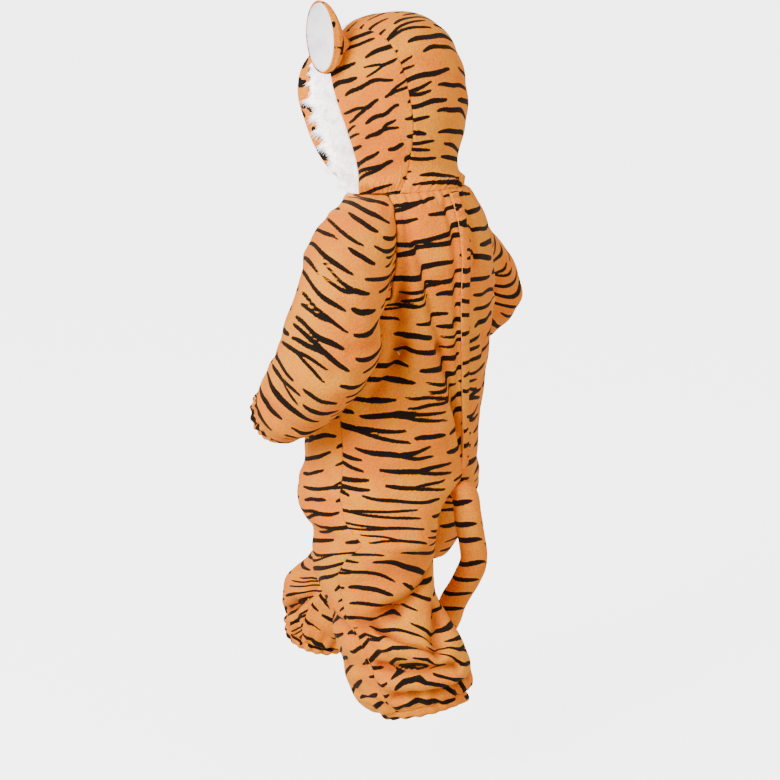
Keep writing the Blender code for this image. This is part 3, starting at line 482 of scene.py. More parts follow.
# Colours, linear
LIGHT_ORANGE = (1.00, 0.330, 0.008, 1)
MID_ORANGE = (1.00, 0.225, 0.001, 1)
# Painted shade: the deep orange that creases are darkened towards
CREASE_PAINTED_SHADE_ORANGE = (0.46, 0.060, 0.000, 1)
STRIPE_BLACK = (0.008, 0.004, 0.003, 1)
BACKING = (0.90, 0.50, 0.14, 1)
FUR_WHITE = (1.00, 0.97, 0.96, 1)
# Painted shade for the white fur and the ear's lining, mixed in between the locks
FUR_PAINTED_SHADE = (0.74, 0.63, 0.64, 1)
LINING_PAINTED_SHADE = (0.80, 0.71, 0.76, 1)
FLOOR_GREY = (0.85, 0.85, 0.85, 1)
FLOOR_GLOW = 4.4
SKY_STRENGTH = 0.95
# How the orange varies: the patches, the fibres, the ragged edges of strokes and the tufts, each a
# noise with its scale, detail and roughness, then the values between which it is eased
PATCHES = (17, 5, 0.6)
PATCH_RANGE = (0.36, 0.66)
FIBRES = (620, 3, 0.6)
FIBRE_RANGE = (0.3, 0.7, 0.78, 1.08)
RAGGED = (520, 2, 0.5)
RAGGED_BY = 0.0016
STROKE_EDGE = (0.00045, -0.00035)
TUFTS = (360, 4, 0.65)
# Painted shade in creases: the depths at which it starts to deepen the orange and is deepest, and how much of
# the orange it changes
CREASE_PAINTED_SHADE_DEPTHS = (-0.0015, -0.0110)
CREASE_PAINTED_SHADE_SHARE = 0.8
# The painted shade between the white locks
LOCK_RANGE = (0.30, 0.62)
FUR_GRAIN = 90.0
LINING_GRAIN = 45.0
# Painted light: the white fur and the ear's lining glow evenly in their own tone, as if lit
FUR_PAINTED_GLOW = 2.3
LINING_PAINTED_GLOW = 0.40
SKY_COLOUR = (1.0, 0.99, 0.98, 1)
FLOOR_REACH = 60.0
# The lights: place, size across and watts, and the point that they face
LIGHTS = {
    "key": ((3.3, -0.7, 1.5), 1.8, 215.0),
    "fill": ((0.2, 3.6, 1.6), 2.5, 30.0),
}
LIGHTS_FACE = (0, 0, -0.25)

# The white fur's skin: the part of the pile's height that it fills, how much closer its waves are along
# and across than elsewhere, and the least part of them where the pile is thin
FUR_SKIN_SHARE = 0.72
FUR_WAVES_CLOSER = (6, 5)
LEAST_FUR_WAVES = 0.15
# Its strands, which start all over the band and lie outwards over the front strip: how many, their
# length and thickness, how far they stand off and droop, their points, the corners of one, and how thin
# their tips become
FUR_STRANDS = 9600
STRAND_COLUMNS = ("shortest", "longest", "radius", "lift", "droop", "points")
STRAND = dict(zip(STRAND_COLUMNS, (0.008, 0.023, 0.00044, 0.30, 0.40, 4)))
STRAND_CORNERS = 3
TIP_FADE = 0.75
LENGTH_RANGE = (0.6, 1.0)
LIFT_RANGE = (0.2, 1.0)
LEAST_LENGTH = 0.45
LEAST_LIFT = 0.3
# How strands gather into tufts: rows of the band to a tuft, how that drifts and how often, how sharp a
# tuft's tip is, how far strands lean along the band on the whole and each for itself, and how far into
# their tuft
TUFT_ROWS = 9.0
TUFT_DRIFT = 1.3
DRIFT_RATE = 0.17
TUFT_SHARPNESS = 1.5
STRAND_LEAN = (0.15, 0.14)
LEAN_INTO_TUFT = 0.55

# How finely the ears and the tail are drawn: points along and round
EAR_POINTS = (44, 96)
TAIL_POINTS = (170, 64)
EAR_RIM_ROLL = 0.0012
RIM_ROLLED_BACK = 0.2
RIM_ROLLED_IN = 0.6
EAR_LINING_START = 0.35
# How far a casing starts inside its limb's panels
CASING_TUCKED = 0.0025

# The camera: how far round from straight ahead of the wearer towards their left, its distance, its
# height above the ground, the height it looks at, and its focal length for a frame 780 pixels wide
CAMERA_AZIMUTH = 120.0
CAMERA_DISTANCE = 3.0
CAMERA_HEIGHT = 1.15
CAMERA_AIM_HEIGHT = 0.46
CAMERA_FOCAL_PIXELS = 2561.0
FRAME_PIXELS = 780.0
SENSOR_MM = 36.0


def smooth(rows, places):
    """A smooth curve through the rows, read at places from 0 to the last row's number."""
    rows = np.asarray(rows, float)
    places = np.clip(np.asarray(places, float), 0, len(rows) - 1)
    before = np.minimum(places.astype(int), len(rows) - 2)
    slopes = np.gradient(rows, axis=0)
    f = (places - before).reshape((-1,) + (1,) * (rows.ndim - 1))
    return (
        (2 * f**3 - 3 * f**2 + 1) * rows[before]
        + (f**3 - 2 * f**2 + f) * slopes[before]
        + (3 * f**2 - 2 * f**3) * rows[before + 1]
        + (f**3 - f**2) * slopes[before + 1]
    )


def body_table(side):
    """The levels of one half of the body, trunk and leg."""
    trunk = [list(row) for row in TRUNK]
    if side == "right":
        for station, row in RIGHT_HIP.items():
            trunk[station] = list(row)
    legs = {"left": LEFT_LEG, "right": RIGHT_LEG}
    return np.array(trunk + [list(row) for row in legs[side]])


def turned(points, pivot, turn, pitch):
    """Points pitched about the side-to-side line, back up, then turned about +Z, both round the pivot."""
    x, y, z = np.moveaxis(points - pivot, -1, 0)
    y, z = y * np.cos(pitch) - z * np.sin(pitch), y * np.sin(pitch) + z * np.cos(pitch)
    x, y = x * np.cos(turn) - y * np.sin(turn), x * np.sin(turn) + y * np.cos(turn)
    return np.stack([x, y, z], -1) + pivot


def body_rings(side, stations, rounds):
    """Points on one half, and each ring's middle. rounds holds, for each station, parts of the half ring."""
    sign = 1 if side == "left" else -1
    row = dict(zip(BODY_COLUMNS, smooth(body_table(side), stations).T[:, :, None]))
    closure = np.clip(row["closure"], 0, 1)
    reach = math.pi / 2 * (1 + closure)
    angle = reach * (2 * np.asarray(rounds) - 1)
    middle = row["half_width"] * np.sin(math.pi / 2 * closure) + np.clip(row["gap"], 0, None)
    x = middle + row["half_width"] * np.cos(angle)
    widest = middle + row["half_width"]
    y = row["ahead"] + row["half_depth"] * np.sin(angle) + row["swing"] * x / widest
    z = np.broadcast_to(row["height"], x.shape)
    centre_x = np.where(closure > 0.99, middle, 0)
    centre = np.stack([sign * centre_x, row["ahead"] + 0 * centre_x, row["height"] + 0 * centre_x], -1)
    points = turned(
        np.stack([sign * x, y, z], -1), centre, np.radians(row["turn"]), np.radians(row["pitch"])
    )
    return points, np.stack([sign * middle, row["ahead"] + row["swing"] / 2, row["height"]], -1)


def neck_point(side, degrees):
    """A point of the neckline, by its angle from the side seam line, plus to the back."""
    part = (np.asarray(degrees, float) / 90 + 1) / 2
    return body_rings(side, [0.0], np.atleast_1d(part)[None])[0][0]


def surface_normals(grid, inside, closed=False):
    """Unit normals of a grid of points, away from the points inside."""
    wide = np.concatenate([grid[:, -1:], grid, grid[:, :1]], 1) if closed else grid
    across = np.gradient(wide, axis=1)
    along = np.gradient(wide, axis=0)
    if closed:
        across, along = across[:, 1:-1], along[:, 1:-1]
    normals = np.cross(along, across)
    normals /= np.maximum(np.linalg.norm(normals, axis=-1, keepdims=True), 1e-12)
    outward = np.sign(np.sum(normals * (grid - inside), -1, keepdims=True).sum())
    return normals * outward


def fold_relief(round_from_seam, height, folds):
    """How far the cloth stands out at places on a half, from its table of folds."""
    relief = np.zeros_like(height)
    for values in folds:
        fold = dict(zip(FOLD_COLUMNS, values))
        start = np.array([fold["from_round"], fold["from_height"]])
        run = np.array([fold["to_round"], fold["to_height"]]) - start
        place = np.stack([round_from_seam, height], -1) - start
        part = np.clip(place @ run / (run @ run), 0, 1)
        away = np.linalg.norm(place - part[..., None] * run, axis=-1)
        relief += fold["height"] * np.exp(-((away / fold["width"]) ** 2))
    return relief


def body_stations():
    """The levels that the panels' rows are read at: the yoke, the trunk and the legs."""
    last = len(TRUNK) + len(LEFT_LEG) - 1
    yoke = np.linspace(0, UNDERARM_STATION, YOKE_ROWS)
    trunk = np.linspace(UNDERARM_STATION, CROTCH_STATION, TRUNK_ROWS)
    leg = np.linspace(CROTCH_STATION, last, LEG_ROWS)
    return np.concatenate([yoke, trunk[1:], leg[1:]])


def body_half(side):
    """The front and back grids of one half, and the parts of the ring at which each row meets the sleeve."""
    stations = body_stations()
    raglan = np.array(RAGLAN)
    edge = np.full((len(stations), 2), 0.5)
    above = stations <= UNDERARM_STATION
    levels = range(len(raglan))
    edge[above] = np.stack([np.interp(stations[above], levels, column) for column in raglan.T], -1)
    share = np.linspace(0, 1, PANEL_COLUMNS)
    rounds = {"front": edge[:, :1] * share, "back": edge[:, 1:] + (1 - edge[:, 1:]) * share}
    grids = {}
    for name, parts in rounds.items():
        grid, centres = body_rings(side, stations, parts)
        seam_part = np.full((len(stations), 1), 0.5)
        seam = body_rings(side, stations, seam_part)[0]
        steps = np.linalg.norm(np.diff(grid, axis=1), axis=-1)
        gone = np.concatenate([np.zeros((len(stations), 1)), np.cumsum(steps, 1)], 1)
        start = np.linalg.norm(grid[:, -1 if name == "front" else 0] - seam[:, 0], axis=-1)[:, None]
        round_from_seam = -(gone[:, -1:] - gone) - start if name == "front" else gone + start
        heights = grid[..., 2]
        normals = surface_normals(grid, centres)
        from_centre = np.abs(share - (0 if name == "front" else 1))
        fade = np.minimum(1, from_centre / FOLD_FADE)
        grids[name] = grid + normals * (fold_relief(round_from_seam, heights, FOLDS[side]) * fade)[..., None]
        grids[name + "_inside"] = centres
    shared = (grids["front"][:, -1] + grids["back"][:, 0]) / 2
    below = stations >= UNDERARM_STATION
    grids["front"][below, -1] = shared[below]
    grids["back"][below, 0] = shared[below]
    inseam = stations >= CROTCH_STATION
    shared = (grids["front"][:, 0] + grids["back"][:, -1]) / 2
    grids["front"][inseam, 0] = shared[inseam]
    grids["back"][inseam, -1] = shared[inseam]
    return grids, stations


def join_halves(left, right, stations):
    """The two halves meet on one line down the centre front and centre back as far as the crotch."""
    trunk = stations <= CROTCH_STATION
    for name, column in (("front", 0), ("back", -1)):
        middle = (left[name][trunk, column] + right[name][trunk, column]) / 2
        left[name][trunk, column] = middle
        right[name][trunk, column] = middle
    crotch = np.flatnonzero(stations == CROTCH_STATION)[0]
    point = (left["front"][crotch, 0] + left["back"][crotch, -1]) / 2
    for half in (left, right):
        half["front"][crotch, 0] = point
        half["back"][crotch, -1] = point


def sleeve_rings(side, half, stations):
    """The sleeve's rings: the armhole loop with the neckline on top, then the rings of the table."""
    sign = 1 if side == "left" else -1
    above = np.flatnonzero(stations < UNDERARM_STATION)
    underarm = half["front"][above[-1] + 1, -1]
    back = half["back"][above, 0][::-1]
    front = half["front"][above, -1]
    neck_parts = np.linspace(RAGLAN[0][1], RAGLAN[0][0], NECK_POINTS_ON_SLEEVE + 2)[1:-1]
    neck = body_rings(side, [0.0], neck_parts[None])[0][0]
    armhole = np.concatenate([underarm[None], back, neck, front])
    count = len(armhole)
    around = 2 * math.pi * np.arange(count) / count
    rings = [armhole]
    for values in SLEEVE[side]:
        row = dict(zip(SLEEVE_COLUMNS, values))
        droop, forward = math.radians(row["droop"]), math.radians(row["forward"])
        along = np.array(
            [
                sign * math.cos(droop) * math.cos(forward),
                -math.cos(droop) * math.sin(forward),
                -math.sin(droop),
            ]
        )
        lean = np.array([sign * math.sin(droop), 0.0, math.cos(droop)])
        if row["forward"] > FORWARD_FROM:
            tilt = math.radians(FORWARD_SLEEVE_LEAN)
            lean = np.array([sign * math.sin(tilt), 0.0, math.cos(tilt)])
        out = lean - (lean @ along) * along
        out /= np.linalg.norm(out)
        backward = sign * np.cross(out, along)
        centre = np.array([row["sideways"], row["ahead"], row["height"]])
        rings.append(
            centre
            - row["half_height"] * np.cos(around)[:, None] * out
            + row["half_width"] * np.sin(around)[:, None] * backward
        )
    return smooth(np.array(rings), np.linspace(0, len(rings) - 1, SLEEVE_RINGS))


def brim_line(table, neck_angle):
    """One of the face opening's lines, from the left side of the neck over the forehead to the right side."""
    left = np.array(table)
    right = (left * (-1, 1, 1))[-2::-1]
    return np.concatenate([neck_point("left", neck_angle), left, right, neck_point("right", neck_angle)])


def hood_grids():
    """The hood's three panels, then the fur band and the front strip, on shared lines."""
    edge = brim_line(HOOD_EDGE, NECK_ANGLES["hood_edge"])
    fur = brim_line(FUR_EDGE, NECK_ANGLES["fur_edge"])
    strip = brim_line(STRIP_EDGE, NECK_ANGLES["strip_edge"])
    last = len(edge) - 1
    side_places = np.linspace(0, SEAM_CORNER, HOOD_SIDE_ROWS)
    top_places = np.linspace(SEAM_CORNER, last - SEAM_CORNER, HOOD_CENTRE_COLUMNS)
    rim_places = np.concatenate([side_places, top_places[1:-1], last - side_places[::-1]])

    # Centre panel: each row crosses from the left seam over the middle line to the right seam
    across = np.linspace(-1, 1, HOOD_CENTRE_COLUMNS)
    dip = (1 - np.sqrt(1 - (CROWN_FULLNESS * across) ** 2)) / (1 - math.sqrt(1 - CROWN_FULLNESS**2))
    rows = [smooth(edge, top_places)]
    for values in CROWN:
        row = dict(zip(CROWN_COLUMNS, values))
        ahead = row["mid_ahead"] + (row["seam_ahead"] - row["mid_ahead"]) * dip
        height = row["mid_height"] + (row["seam_height"] - row["mid_height"]) * dip
        rows.append(np.stack([-across * row["seam_side"], ahead, height], -1))
    half = HOOD_CENTRE_COLUMNS // 2
    nape_angles = np.linspace(NECK_ANGLES["hood_seam"], 90, half + 1)
    nape_left = neck_point("left", nape_angles)
    nape_right = neck_point("right", nape_angles[:-1])[::-1]
    rows.append(np.concatenate([nape_left, nape_right]))
    last_row = len(rows) - 1
    upper = np.linspace(0, CROWN_CORNER_STATION, HOOD_SIDE_COLUMNS)
    lower = np.linspace(CROWN_CORNER_STATION, last_row, HOOD_SIDE_ROWS)
    centre = smooth(np.array(rows), np.concatenate([upper, lower[1:]]))

    grids = {"hood_centre": centre}
    for side in ("left", "right"):
        column = 0 if side == "left" else -1
        seam = centre[:, column]
        front_places = side_places if side == "left" else last - side_places
        front = smooth(edge, front_places)
        neck_angles = np.linspace(NECK_ANGLES["hood_edge"], NECK_ANGLES["hood_seam"], HOOD_SIDE_COLUMNS)
        bottom = neck_point(side, neck_angles)
        top = seam[:HOOD_SIDE_COLUMNS]
        rear = seam[HOOD_SIDE_COLUMNS - 1 :][::-1]
        grids["hood_side_" + side] = patch(bottom, top, front, rear, 1 if side == "left" else -1)
    fur_line, strip_line = smooth(fur, rim_places), smooth(strip, rim_places)
    edge_line = smooth(edge, rim_places)
    parts = np.linspace(0, 1, len(FUR_PILE))[None, :, None]
    grids["hood_fur"] = edge_line[:, None] * (1 - parts) + fur_line[:, None] * parts
    parts = np.linspace(0, 1, 3)[None, :, None]
    grids["hood_strip"] = fur_line[:, None] * (1 - parts) + strip_line[:, None] * parts
    return grids


def patch(bottom, top, front, rear, sign):
    """A four-sided patch between its edges, rounded outwards in the middle."""
    u = np.linspace(0, 1, len(bottom))[None, :, None]
    v = np.linspace(0, 1, len(front))[:, None, None]
    sheet = (1 - v) * bottom[None] + v * top[None] + (1 - u) * front[:, None] + u * rear[:, None]
    sheet = sheet - (
        (1 - u) * (1 - v) * bottom[0] + u * (1 - v) * bottom[-1] + (1 - u) * v * top[0] + u * v * top[-1]
    )
    bulge = HOOD_SIDE_BULGE * np.sin(math.pi * u) ** 0.8 * np.sin(math.pi * v) ** 0.8
    return sheet + bulge * np.array([sign, 0, 0])


def tube_along(centres, radii, sides):
    """Rings round a path, each square to it."""
    along = np.gradient(centres, axis=0)
    along /= np.linalg.norm(along, axis=-1, keepdims=True)
    sideways = np.array([1.0, 0.0, 0.0])
    first = sideways - (along @ sideways)[:, None] * along
    first /= np.linalg.norm(first, axis=-1, keepdims=True)
    second = np.cross(along, first)
    angle = 2 * math.pi * np.arange(sides) / sides
    return (
        centres[:, None]
        + radii[:, None, None]
        * (np.cos(angle)[None, :, None] * first[:, None] + np.sin(angle)[None, :, None] * second[:, None])
    )


def cup_inward(rings, facing):
    """From each point of a cup's rings, half way between the cup's opening and the ring's middle."""
    return unit(facing + unit(rings.mean(1, keepdims=True) - rings))


def unit(vectors):
    return vectors / np.maximum(np.linalg.norm(vectors, axis=-1, keepdims=True), 1e-9)


def fur_pile(rows):
    """How thick the fur stands on each point of its band."""
    along = np.interp(np.linspace(-1, 1, rows), *zip(*FUR_STANDS))
    return along[:, None] * np.array(FUR_PILE)


def finer(grid, rows, columns, closed=False):
    """The same sheet through more points."""
    down = smooth(grid, np.linspace(0, len(grid) - 1, rows))
    across = np.swapaxes(down, 0, 1)
    if closed:
        looped = np.concatenate([across[-2:], across, across[:3]])
        across = smooth(looped, 2 + np.arange(columns) / columns * len(across))
    else:
        across = smooth(across, np.linspace(0, len(across) - 1, columns))
    return np.swapaxes(across, 0, 1)


def measures(grid):
    """Metres along the cloth from the first column and from the first row, at each point."""
    across = np.linalg.norm(np.diff(grid, axis=1), axis=-1)
    down = np.linalg.norm(np.diff(grid, axis=0), axis=-1)
    rows, columns = grid.shape[:2]
    s = np.concatenate([np.zeros((rows, 1)), np.cumsum(across, 1)], 1)
    h = np.concatenate([np.zeros((1, columns)), np.cumsum(down, 0)], 0)
    return s, h


def new_stroke(rng, row, level):
    """The form of the next stroke in the row at a level."""
    pitch = row["pitch"]
    length = rng.uniform(row["shortest"], row["longest"])
    half = rng.uniform(row["thin"], row["thick"])
    middle = level + rng.uniform(-STROKE_STRAYS, STROKE_STRAYS) * pitch
    share = length / row["longest"]
    return {
        "length": length,
        "half": half,
        "middle": middle,
        "bow": share * rng.uniform(-STROKE_BENDS, STROKE_BENDS) * pitch,
        "tilt": share * rng.uniform(-STROKE_BENDS, STROKE_BENDS) * pitch,
        "wave": share * rng.uniform(0, STROKE_WAVES) * pitch,
        "phase": rng.uniform(0, 2 * math.pi),
        "heaviest": rng.uniform(*HEAVIEST_AT),
        "forks": rng.uniform() < FORKED_SHARE and share > FORKS_FROM_LENGTH,
        "fork_at": rng.uniform(*FORK_AT),
        "spread": rng.choice([-1, 1]) * rng.uniform(*FORK_SPREAD) * pitch,
        "fork_back": rng.uniform() < 0.5,
    }


def beyond_stroke(a, b, start, stroke):
    """How far points lie outside a stroke that begins at start along its row, minus inside it."""
    t = (a - start) / stroke["length"]
    inside = np.clip(t, 0, 1)
    line = stroke["middle"] + stroke["bow"] * np.sin(math.pi * inside) + stroke["tilt"] * (inside - 0.5)
    line = line + stroke["wave"] * np.sin(stroke["phase"] + 2 * math.pi * WAVES_IN_STROKE * inside)
    heaviest = stroke["heaviest"]
    bulk = np.where(inside < heaviest, inside / heaviest, (1 - inside) / (1 - heaviest))
    bulk = np.clip(TAPER_RATE * bulk, 0, 1) ** TAPER_POWER
    width = stroke["half"] * (END_THICKNESS + (1 - END_THICKNESS) * bulk)
    beyond = np.maximum(0, np.maximum(-t, t - 1)) * stroke["length"]
    if not stroke["forks"]:
        return np.hypot(b - line, beyond) - width
    from_end = 1 - inside if stroke["fork_back"] else inside
    along = np.clip(from_end - stroke["fork_at"], 0, 1) / (1 - stroke["fork_at"])
    opening = stroke["spread"] * along**FORK_OPENS
    line = line - opening / 2
    width = width * np.where(along > 0, BRANCH_THICKNESS, 1)
    away = np.hypot(b - line, beyond) - width
    branch_away = np.hypot(b - line - opening, beyond) - width
    return np.where(along > 0, np.minimum(away, branch_away), away)


def stroke_field(s, h, name, shift=0):
    """How far each point lies outside the nearest black stroke, minus inside one. Strokes lie end to end in
    rows, bowed and tapered, and some fork."""
    row = dict(zip(STROKE_COLUMNS, STROKES[name]))
    rng = np.random.default_rng(row["seed"] + OTHER_PATTERN * shift)
    slope = math.radians(row["slope"])
    a = s * math.cos(slope) + h * math.sin(slope)
    b = h * math.cos(slope) - s * math.sin(slope)
    pitch = row["pitch"]
    field = np.full(a.shape, FAR_FROM_STROKES)
    for level in np.arange(b.min() - pitch, b.max() + pitch, pitch):
        start = a.min() - rng.uniform(0, row["longest"])
        while start < a.max():
            stroke = new_stroke(rng, row, level)
            near = (a > start - BEYOND_ENDS) & (a < start + stroke["length"] + BEYOND_ENDS)
            near &= np.abs(b - stroke["middle"]) < BESIDE_ROWS * pitch
            if near.any():
                away = beyond_stroke(a[near], b[near], start, stroke)
                field[near] = np.minimum(field[near], away)
            start += stroke["length"] + rng.uniform(*GAP_BETWEEN_STROKES)
    return field


def add_folds(sheet, name, round_from_line, level):
    """The small folds of a piece: their relief, and the cloth they tuck away from the pattern of stripes."""
    for values in FINE_FOLDS.get(name, ()):
        fold = dict(zip(FINE_FOLD_COLUMNS, values))
        start = np.array([fold["from_round"], fold["from_height"]])
        run = np.array([fold["to_round"], fold["to_height"]]) - start
        place = np.stack([round_from_line, level], -1) - start
        part = place @ run / (run @ run)
        nearest = np.clip(part, 0, 1)
        away = np.linalg.norm(place - nearest[..., None] * run, axis=-1)
        ends = np.clip(TUCK_START * np.minimum(part, 1 - part) + 0.5, 0, 1)
        sheet["relief"] = sheet["relief"] + fold["height"] * np.exp(-((away / fold["width"]) ** 2))
        beside = (place[..., 0] * run[1] - place[..., 1] * run[0]) / np.linalg.norm(run)
        past = 0.5 + 0.5 * np.tanh(beside / TUCK_EDGE)
        reach = np.exp(-((away / (TUCK_REACH * fold["width"])) ** 2))
        shift = fold["tuck"] * past * ends * reach
        sheet["s"] = sheet["s"] + shift * TUCK_JUMP
        sheet["h"] = sheet["h"] + shift


def gathers(around, from_edge, size, seed):
    """Relief of small gathers that fade away from a sewn edge. around runs from 0 to 1 along the edge."""
    rng = np.random.default_rng(seed)
    fade = np.clip(1 - from_edge / size["reach"], 0, 1) ** GATHER_FADE
    relief = np.zeros_like(from_edge)
    for run in GATHER_RUNS:
        crests = np.sin(2 * math.pi * (size["waves"] * run * around + rng.uniform()))
        relief += crests * rng.uniform(*GATHER_STRENGTH)
    return relief * fade * size["depth"]


def rolled(from_edge):
    """How far a sewn edge drops away, at each distance from it."""
    part = np.clip(1 - from_edge / ROLL, 0, 1)
    return SEAM_DEPTH * (1 - np.sqrt(np.clip(1 - part**2, 0, 1)))


def soft_waves(s, h, seed, height):
    """Slow unevenness of a sheet of plush."""
    rng = np.random.default_rng(seed)
    relief = np.zeros_like(s)
    for _ in range(WAVE_COUNT):
        down = rng.uniform(*CRESTS_DOWN)
        across = rng.uniform(*CRESTS_ACROSS)
        relief += np.sin(2 * math.pi * (down * h + across * s * rng.choice([-1, 1]) + rng.uniform()))
    return relief * height / WAVE_COUNT


def edge_distances(s, h, edges):
    """Metres from each point of a sheet to the nearest of its named edges."""
    distances = {"start": s, "end": s[:, -1:] - s, "top": h, "bottom": h[-1:] - h}
    nearest = np.full(s.shape, 1.0)
    for edge in edges:
        nearest = np.minimum(nearest, distances[edge])
    return nearest


def zipper(fine, coarse):
    """Triangles between a fine and a coarse run of points that start and end together."""
    faces = []
    at = [round(i * (len(coarse) - 1) / (len(fine) - 1)) for i in range(len(fine))]
    for i in range(len(fine) - 1):
        faces.append((fine[i + 1], fine[i], coarse[at[i]]))
        if at[i + 1] != at[i]:
            faces.append((fine[i + 1], coarse[at[i]], coarse[at[i + 1]]))
    return faces


def quads(number, closed):
    """Quads of a grid of vertex numbers."""
    looped = np.concatenate([number, number[:, :1]], 1) if closed else number
    corners = (looped[:-1, :-1], looped[:-1, 1:], looped[1:, 1:], looped[1:, :-1])
    return [tuple(int(v) for v in face) for face in np.stack(corners, -1).reshape(-1, 4)]


def capped(rows, columns):
    """Faces of a closed tube of rings, whose two ends close on one point each, numbered after the rings."""
    number = np.arange(rows * columns).reshape(rows, columns)
    following = np.roll(number, -1, 1)
    faces = quads(number, True)
    faces += [(int(a), number.size, int(b)) for a, b in zip(number[0], following[0])]
    faces += [(int(b), number.size + 1, int(a)) for a, b in zip(number[-1], following[-1])]
    return faces


def add_piece(name, points, faces, material, attributes=None, uv=None):
    """A smooth mesh that rides on the one body. Points are in heights above the ground."""
    mesh = bpy.data.meshes.new(name)
    world = np.asarray(points, float) - (0, 0, NECK_HEIGHT)
    mesh.from_pydata(world.tolist(), [], faces)
    mesh.update()
    for key, values in (attributes or {}).items():
        layer = mesh.attributes.new(key, "FLOAT", "POINT")
        layer.data.foreach_set("value", np.asarray(values, np.float32))
    if uv is not None:
        loops = np.empty(len(mesh.loops), np.int32)
        mesh.loops.foreach_get("vertex_index", loops)
        mesh.uv_layers.new(name="cut").data.foreach_set("uv", np.asarray(uv, np.float32)[loops].ravel())
    mesh.shade_smooth()
    mesh.materials.append(material)
    piece = bpy.data.objects.new(name, mesh)
    bpy.context.scene.collection.objects.link(piece)
    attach(piece, "root")
    return piece


def shell(name, sheet, material, closed=False):
    """A sheet of plush: its outer face, a coarser inner face WALL behind it, and the edges between them."""
    outer = sheet["grid"] + sheet["normals"] * (sheet["relief"] - rolled(sheet["from_edge"]))[..., None]
    smoothed = sheet["grid"] - sheet["normals"] * (WALL - np.minimum(sheet["relief"], 0))[..., None]
    rows, columns = outer.shape[:2]
    picked_rows = np.unique(np.append(np.arange(0, rows, INNER_STEP), rows - 1))
    last = [] if closed else [columns - 1]
    picked_columns = np.unique(np.append(np.arange(0, columns, INNER_STEP), last).astype(int))
    inner = smoothed[np.ix_(picked_rows, picked_columns)]
    fine = np.arange(rows * columns).reshape(rows, columns)
    coarse = fine.size + np.arange(len(picked_rows) * len(picked_columns)).reshape(inner.shape[:2])
    points = np.concatenate([outer.reshape(-1, 3), inner.reshape(-1, 3)])
    faces = quads(fine, closed) + [tuple(reversed(face)) for face in quads(coarse, closed)]

    def ring(run):
        return list(map(int, run)) + ([int(run[0])] if closed else [])

    faces += zipper(ring(fine[0]), ring(coarse[0]))
    faces += [tuple(reversed(face)) for face in zipper(ring(fine[-1]), ring(coarse[-1]))]
    if not closed:
        faces += [tuple(reversed(face)) for face in zipper(fine[:, 0].tolist(), coarse[:, 0].tolist())]
        faces += zipper(fine[:, -1].tolist(), coarse[:, -1].tolist())
    outer_faces = quads(fine[:2], closed)
    corners = np.array([face[:3] for face in outer_faces])
    first = points[corners[:, 0]]
    normals = np.cross(points[corners[:, 1]] - first, points[corners[:, 2]] - first)
    if np.sum(normals * sheet["normals"][0, : len(normals)]) < 0:
        faces = [tuple(reversed(face)) for face in faces]
    pad = len(inner.reshape(-1, 3))
    attributes = {
        "stripe": np.append(sheet["field"].ravel(), np.full(pad, FAR_FROM_STROKES)),
        # The relief's depth, which the plush material turns into painted shade in creases
        "depth": np.append((sheet["relief"] - rolled(sheet["from_edge"])).ravel(), np.full(pad, 0.0)),
        "inside": np.append(np.zeros(fine.size), np.ones(pad)),
    }
    uv = np.stack([sheet["s"], sheet["h"]], -1)
    uv = np.concatenate([uv.reshape(-1, 2), uv[np.ix_(picked_rows, picked_columns)].reshape(-1, 2)])
    piece = add_piece(name, points, faces, material, attributes, uv)
    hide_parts(name)
    return piece


def sheet_of(grid, inside, edges=(), closed=False):
    """A grid with its normals, its measures and its distances from the named edges."""
    s, h = measures(grid)
    return {
        "grid": grid,
        "normals": surface_normals(grid, inside, closed),
        "s": s,
        "h": h,
        "from_edge": edge_distances(s, h, edges),
        "relief": np.zeros(s.shape),
    }


def nodes_of(material):
    """A material's nodes and links."""
    material.use_nodes = True
    return material.node_tree.nodes, material.node_tree.links


def add_node(nodes, kind, settings=None, **inputs):
    """A new node with its settings and the values of its sockets."""
    node = nodes.new(kind)
    for key, value in (settings or {}).items():
        setattr(node, key, value)
    for key, value in inputs.items():
        node.inputs[key.replace("_", " ")].default_value = value
    return node


def mixed(nodes, links, share, first, second):
    """A colour mix. Each of share, first and second is a socket or a plain value."""
    mix = add_node(nodes, "ShaderNodeMix", {"data_type": "RGBA"})
    for socket, value in ((mix.inputs[0], share), (mix.inputs[6], first), (mix.inputs[7], second)):
        if isinstance(value, bpy.types.NodeSocket):
            links.new(value, socket)
        else:
            socket.default_value = value
    return mix.outputs[2]


def remapped(nodes, links, value, low, high, to_low=0.0, to_high=1.0):
    """A value eased from one range to another."""
    node = add_node(nodes, "ShaderNodeMapRange", {"interpolation_type": "SMOOTHSTEP"})
    links.new(value, node.inputs["Value"])
    ends = {"From Min": low, "From Max": high, "To Min": to_low, "To Max": to_high}
    for key, number in ends.items():
        node.inputs[key].default_value = number
    return node.outputs["Result"]


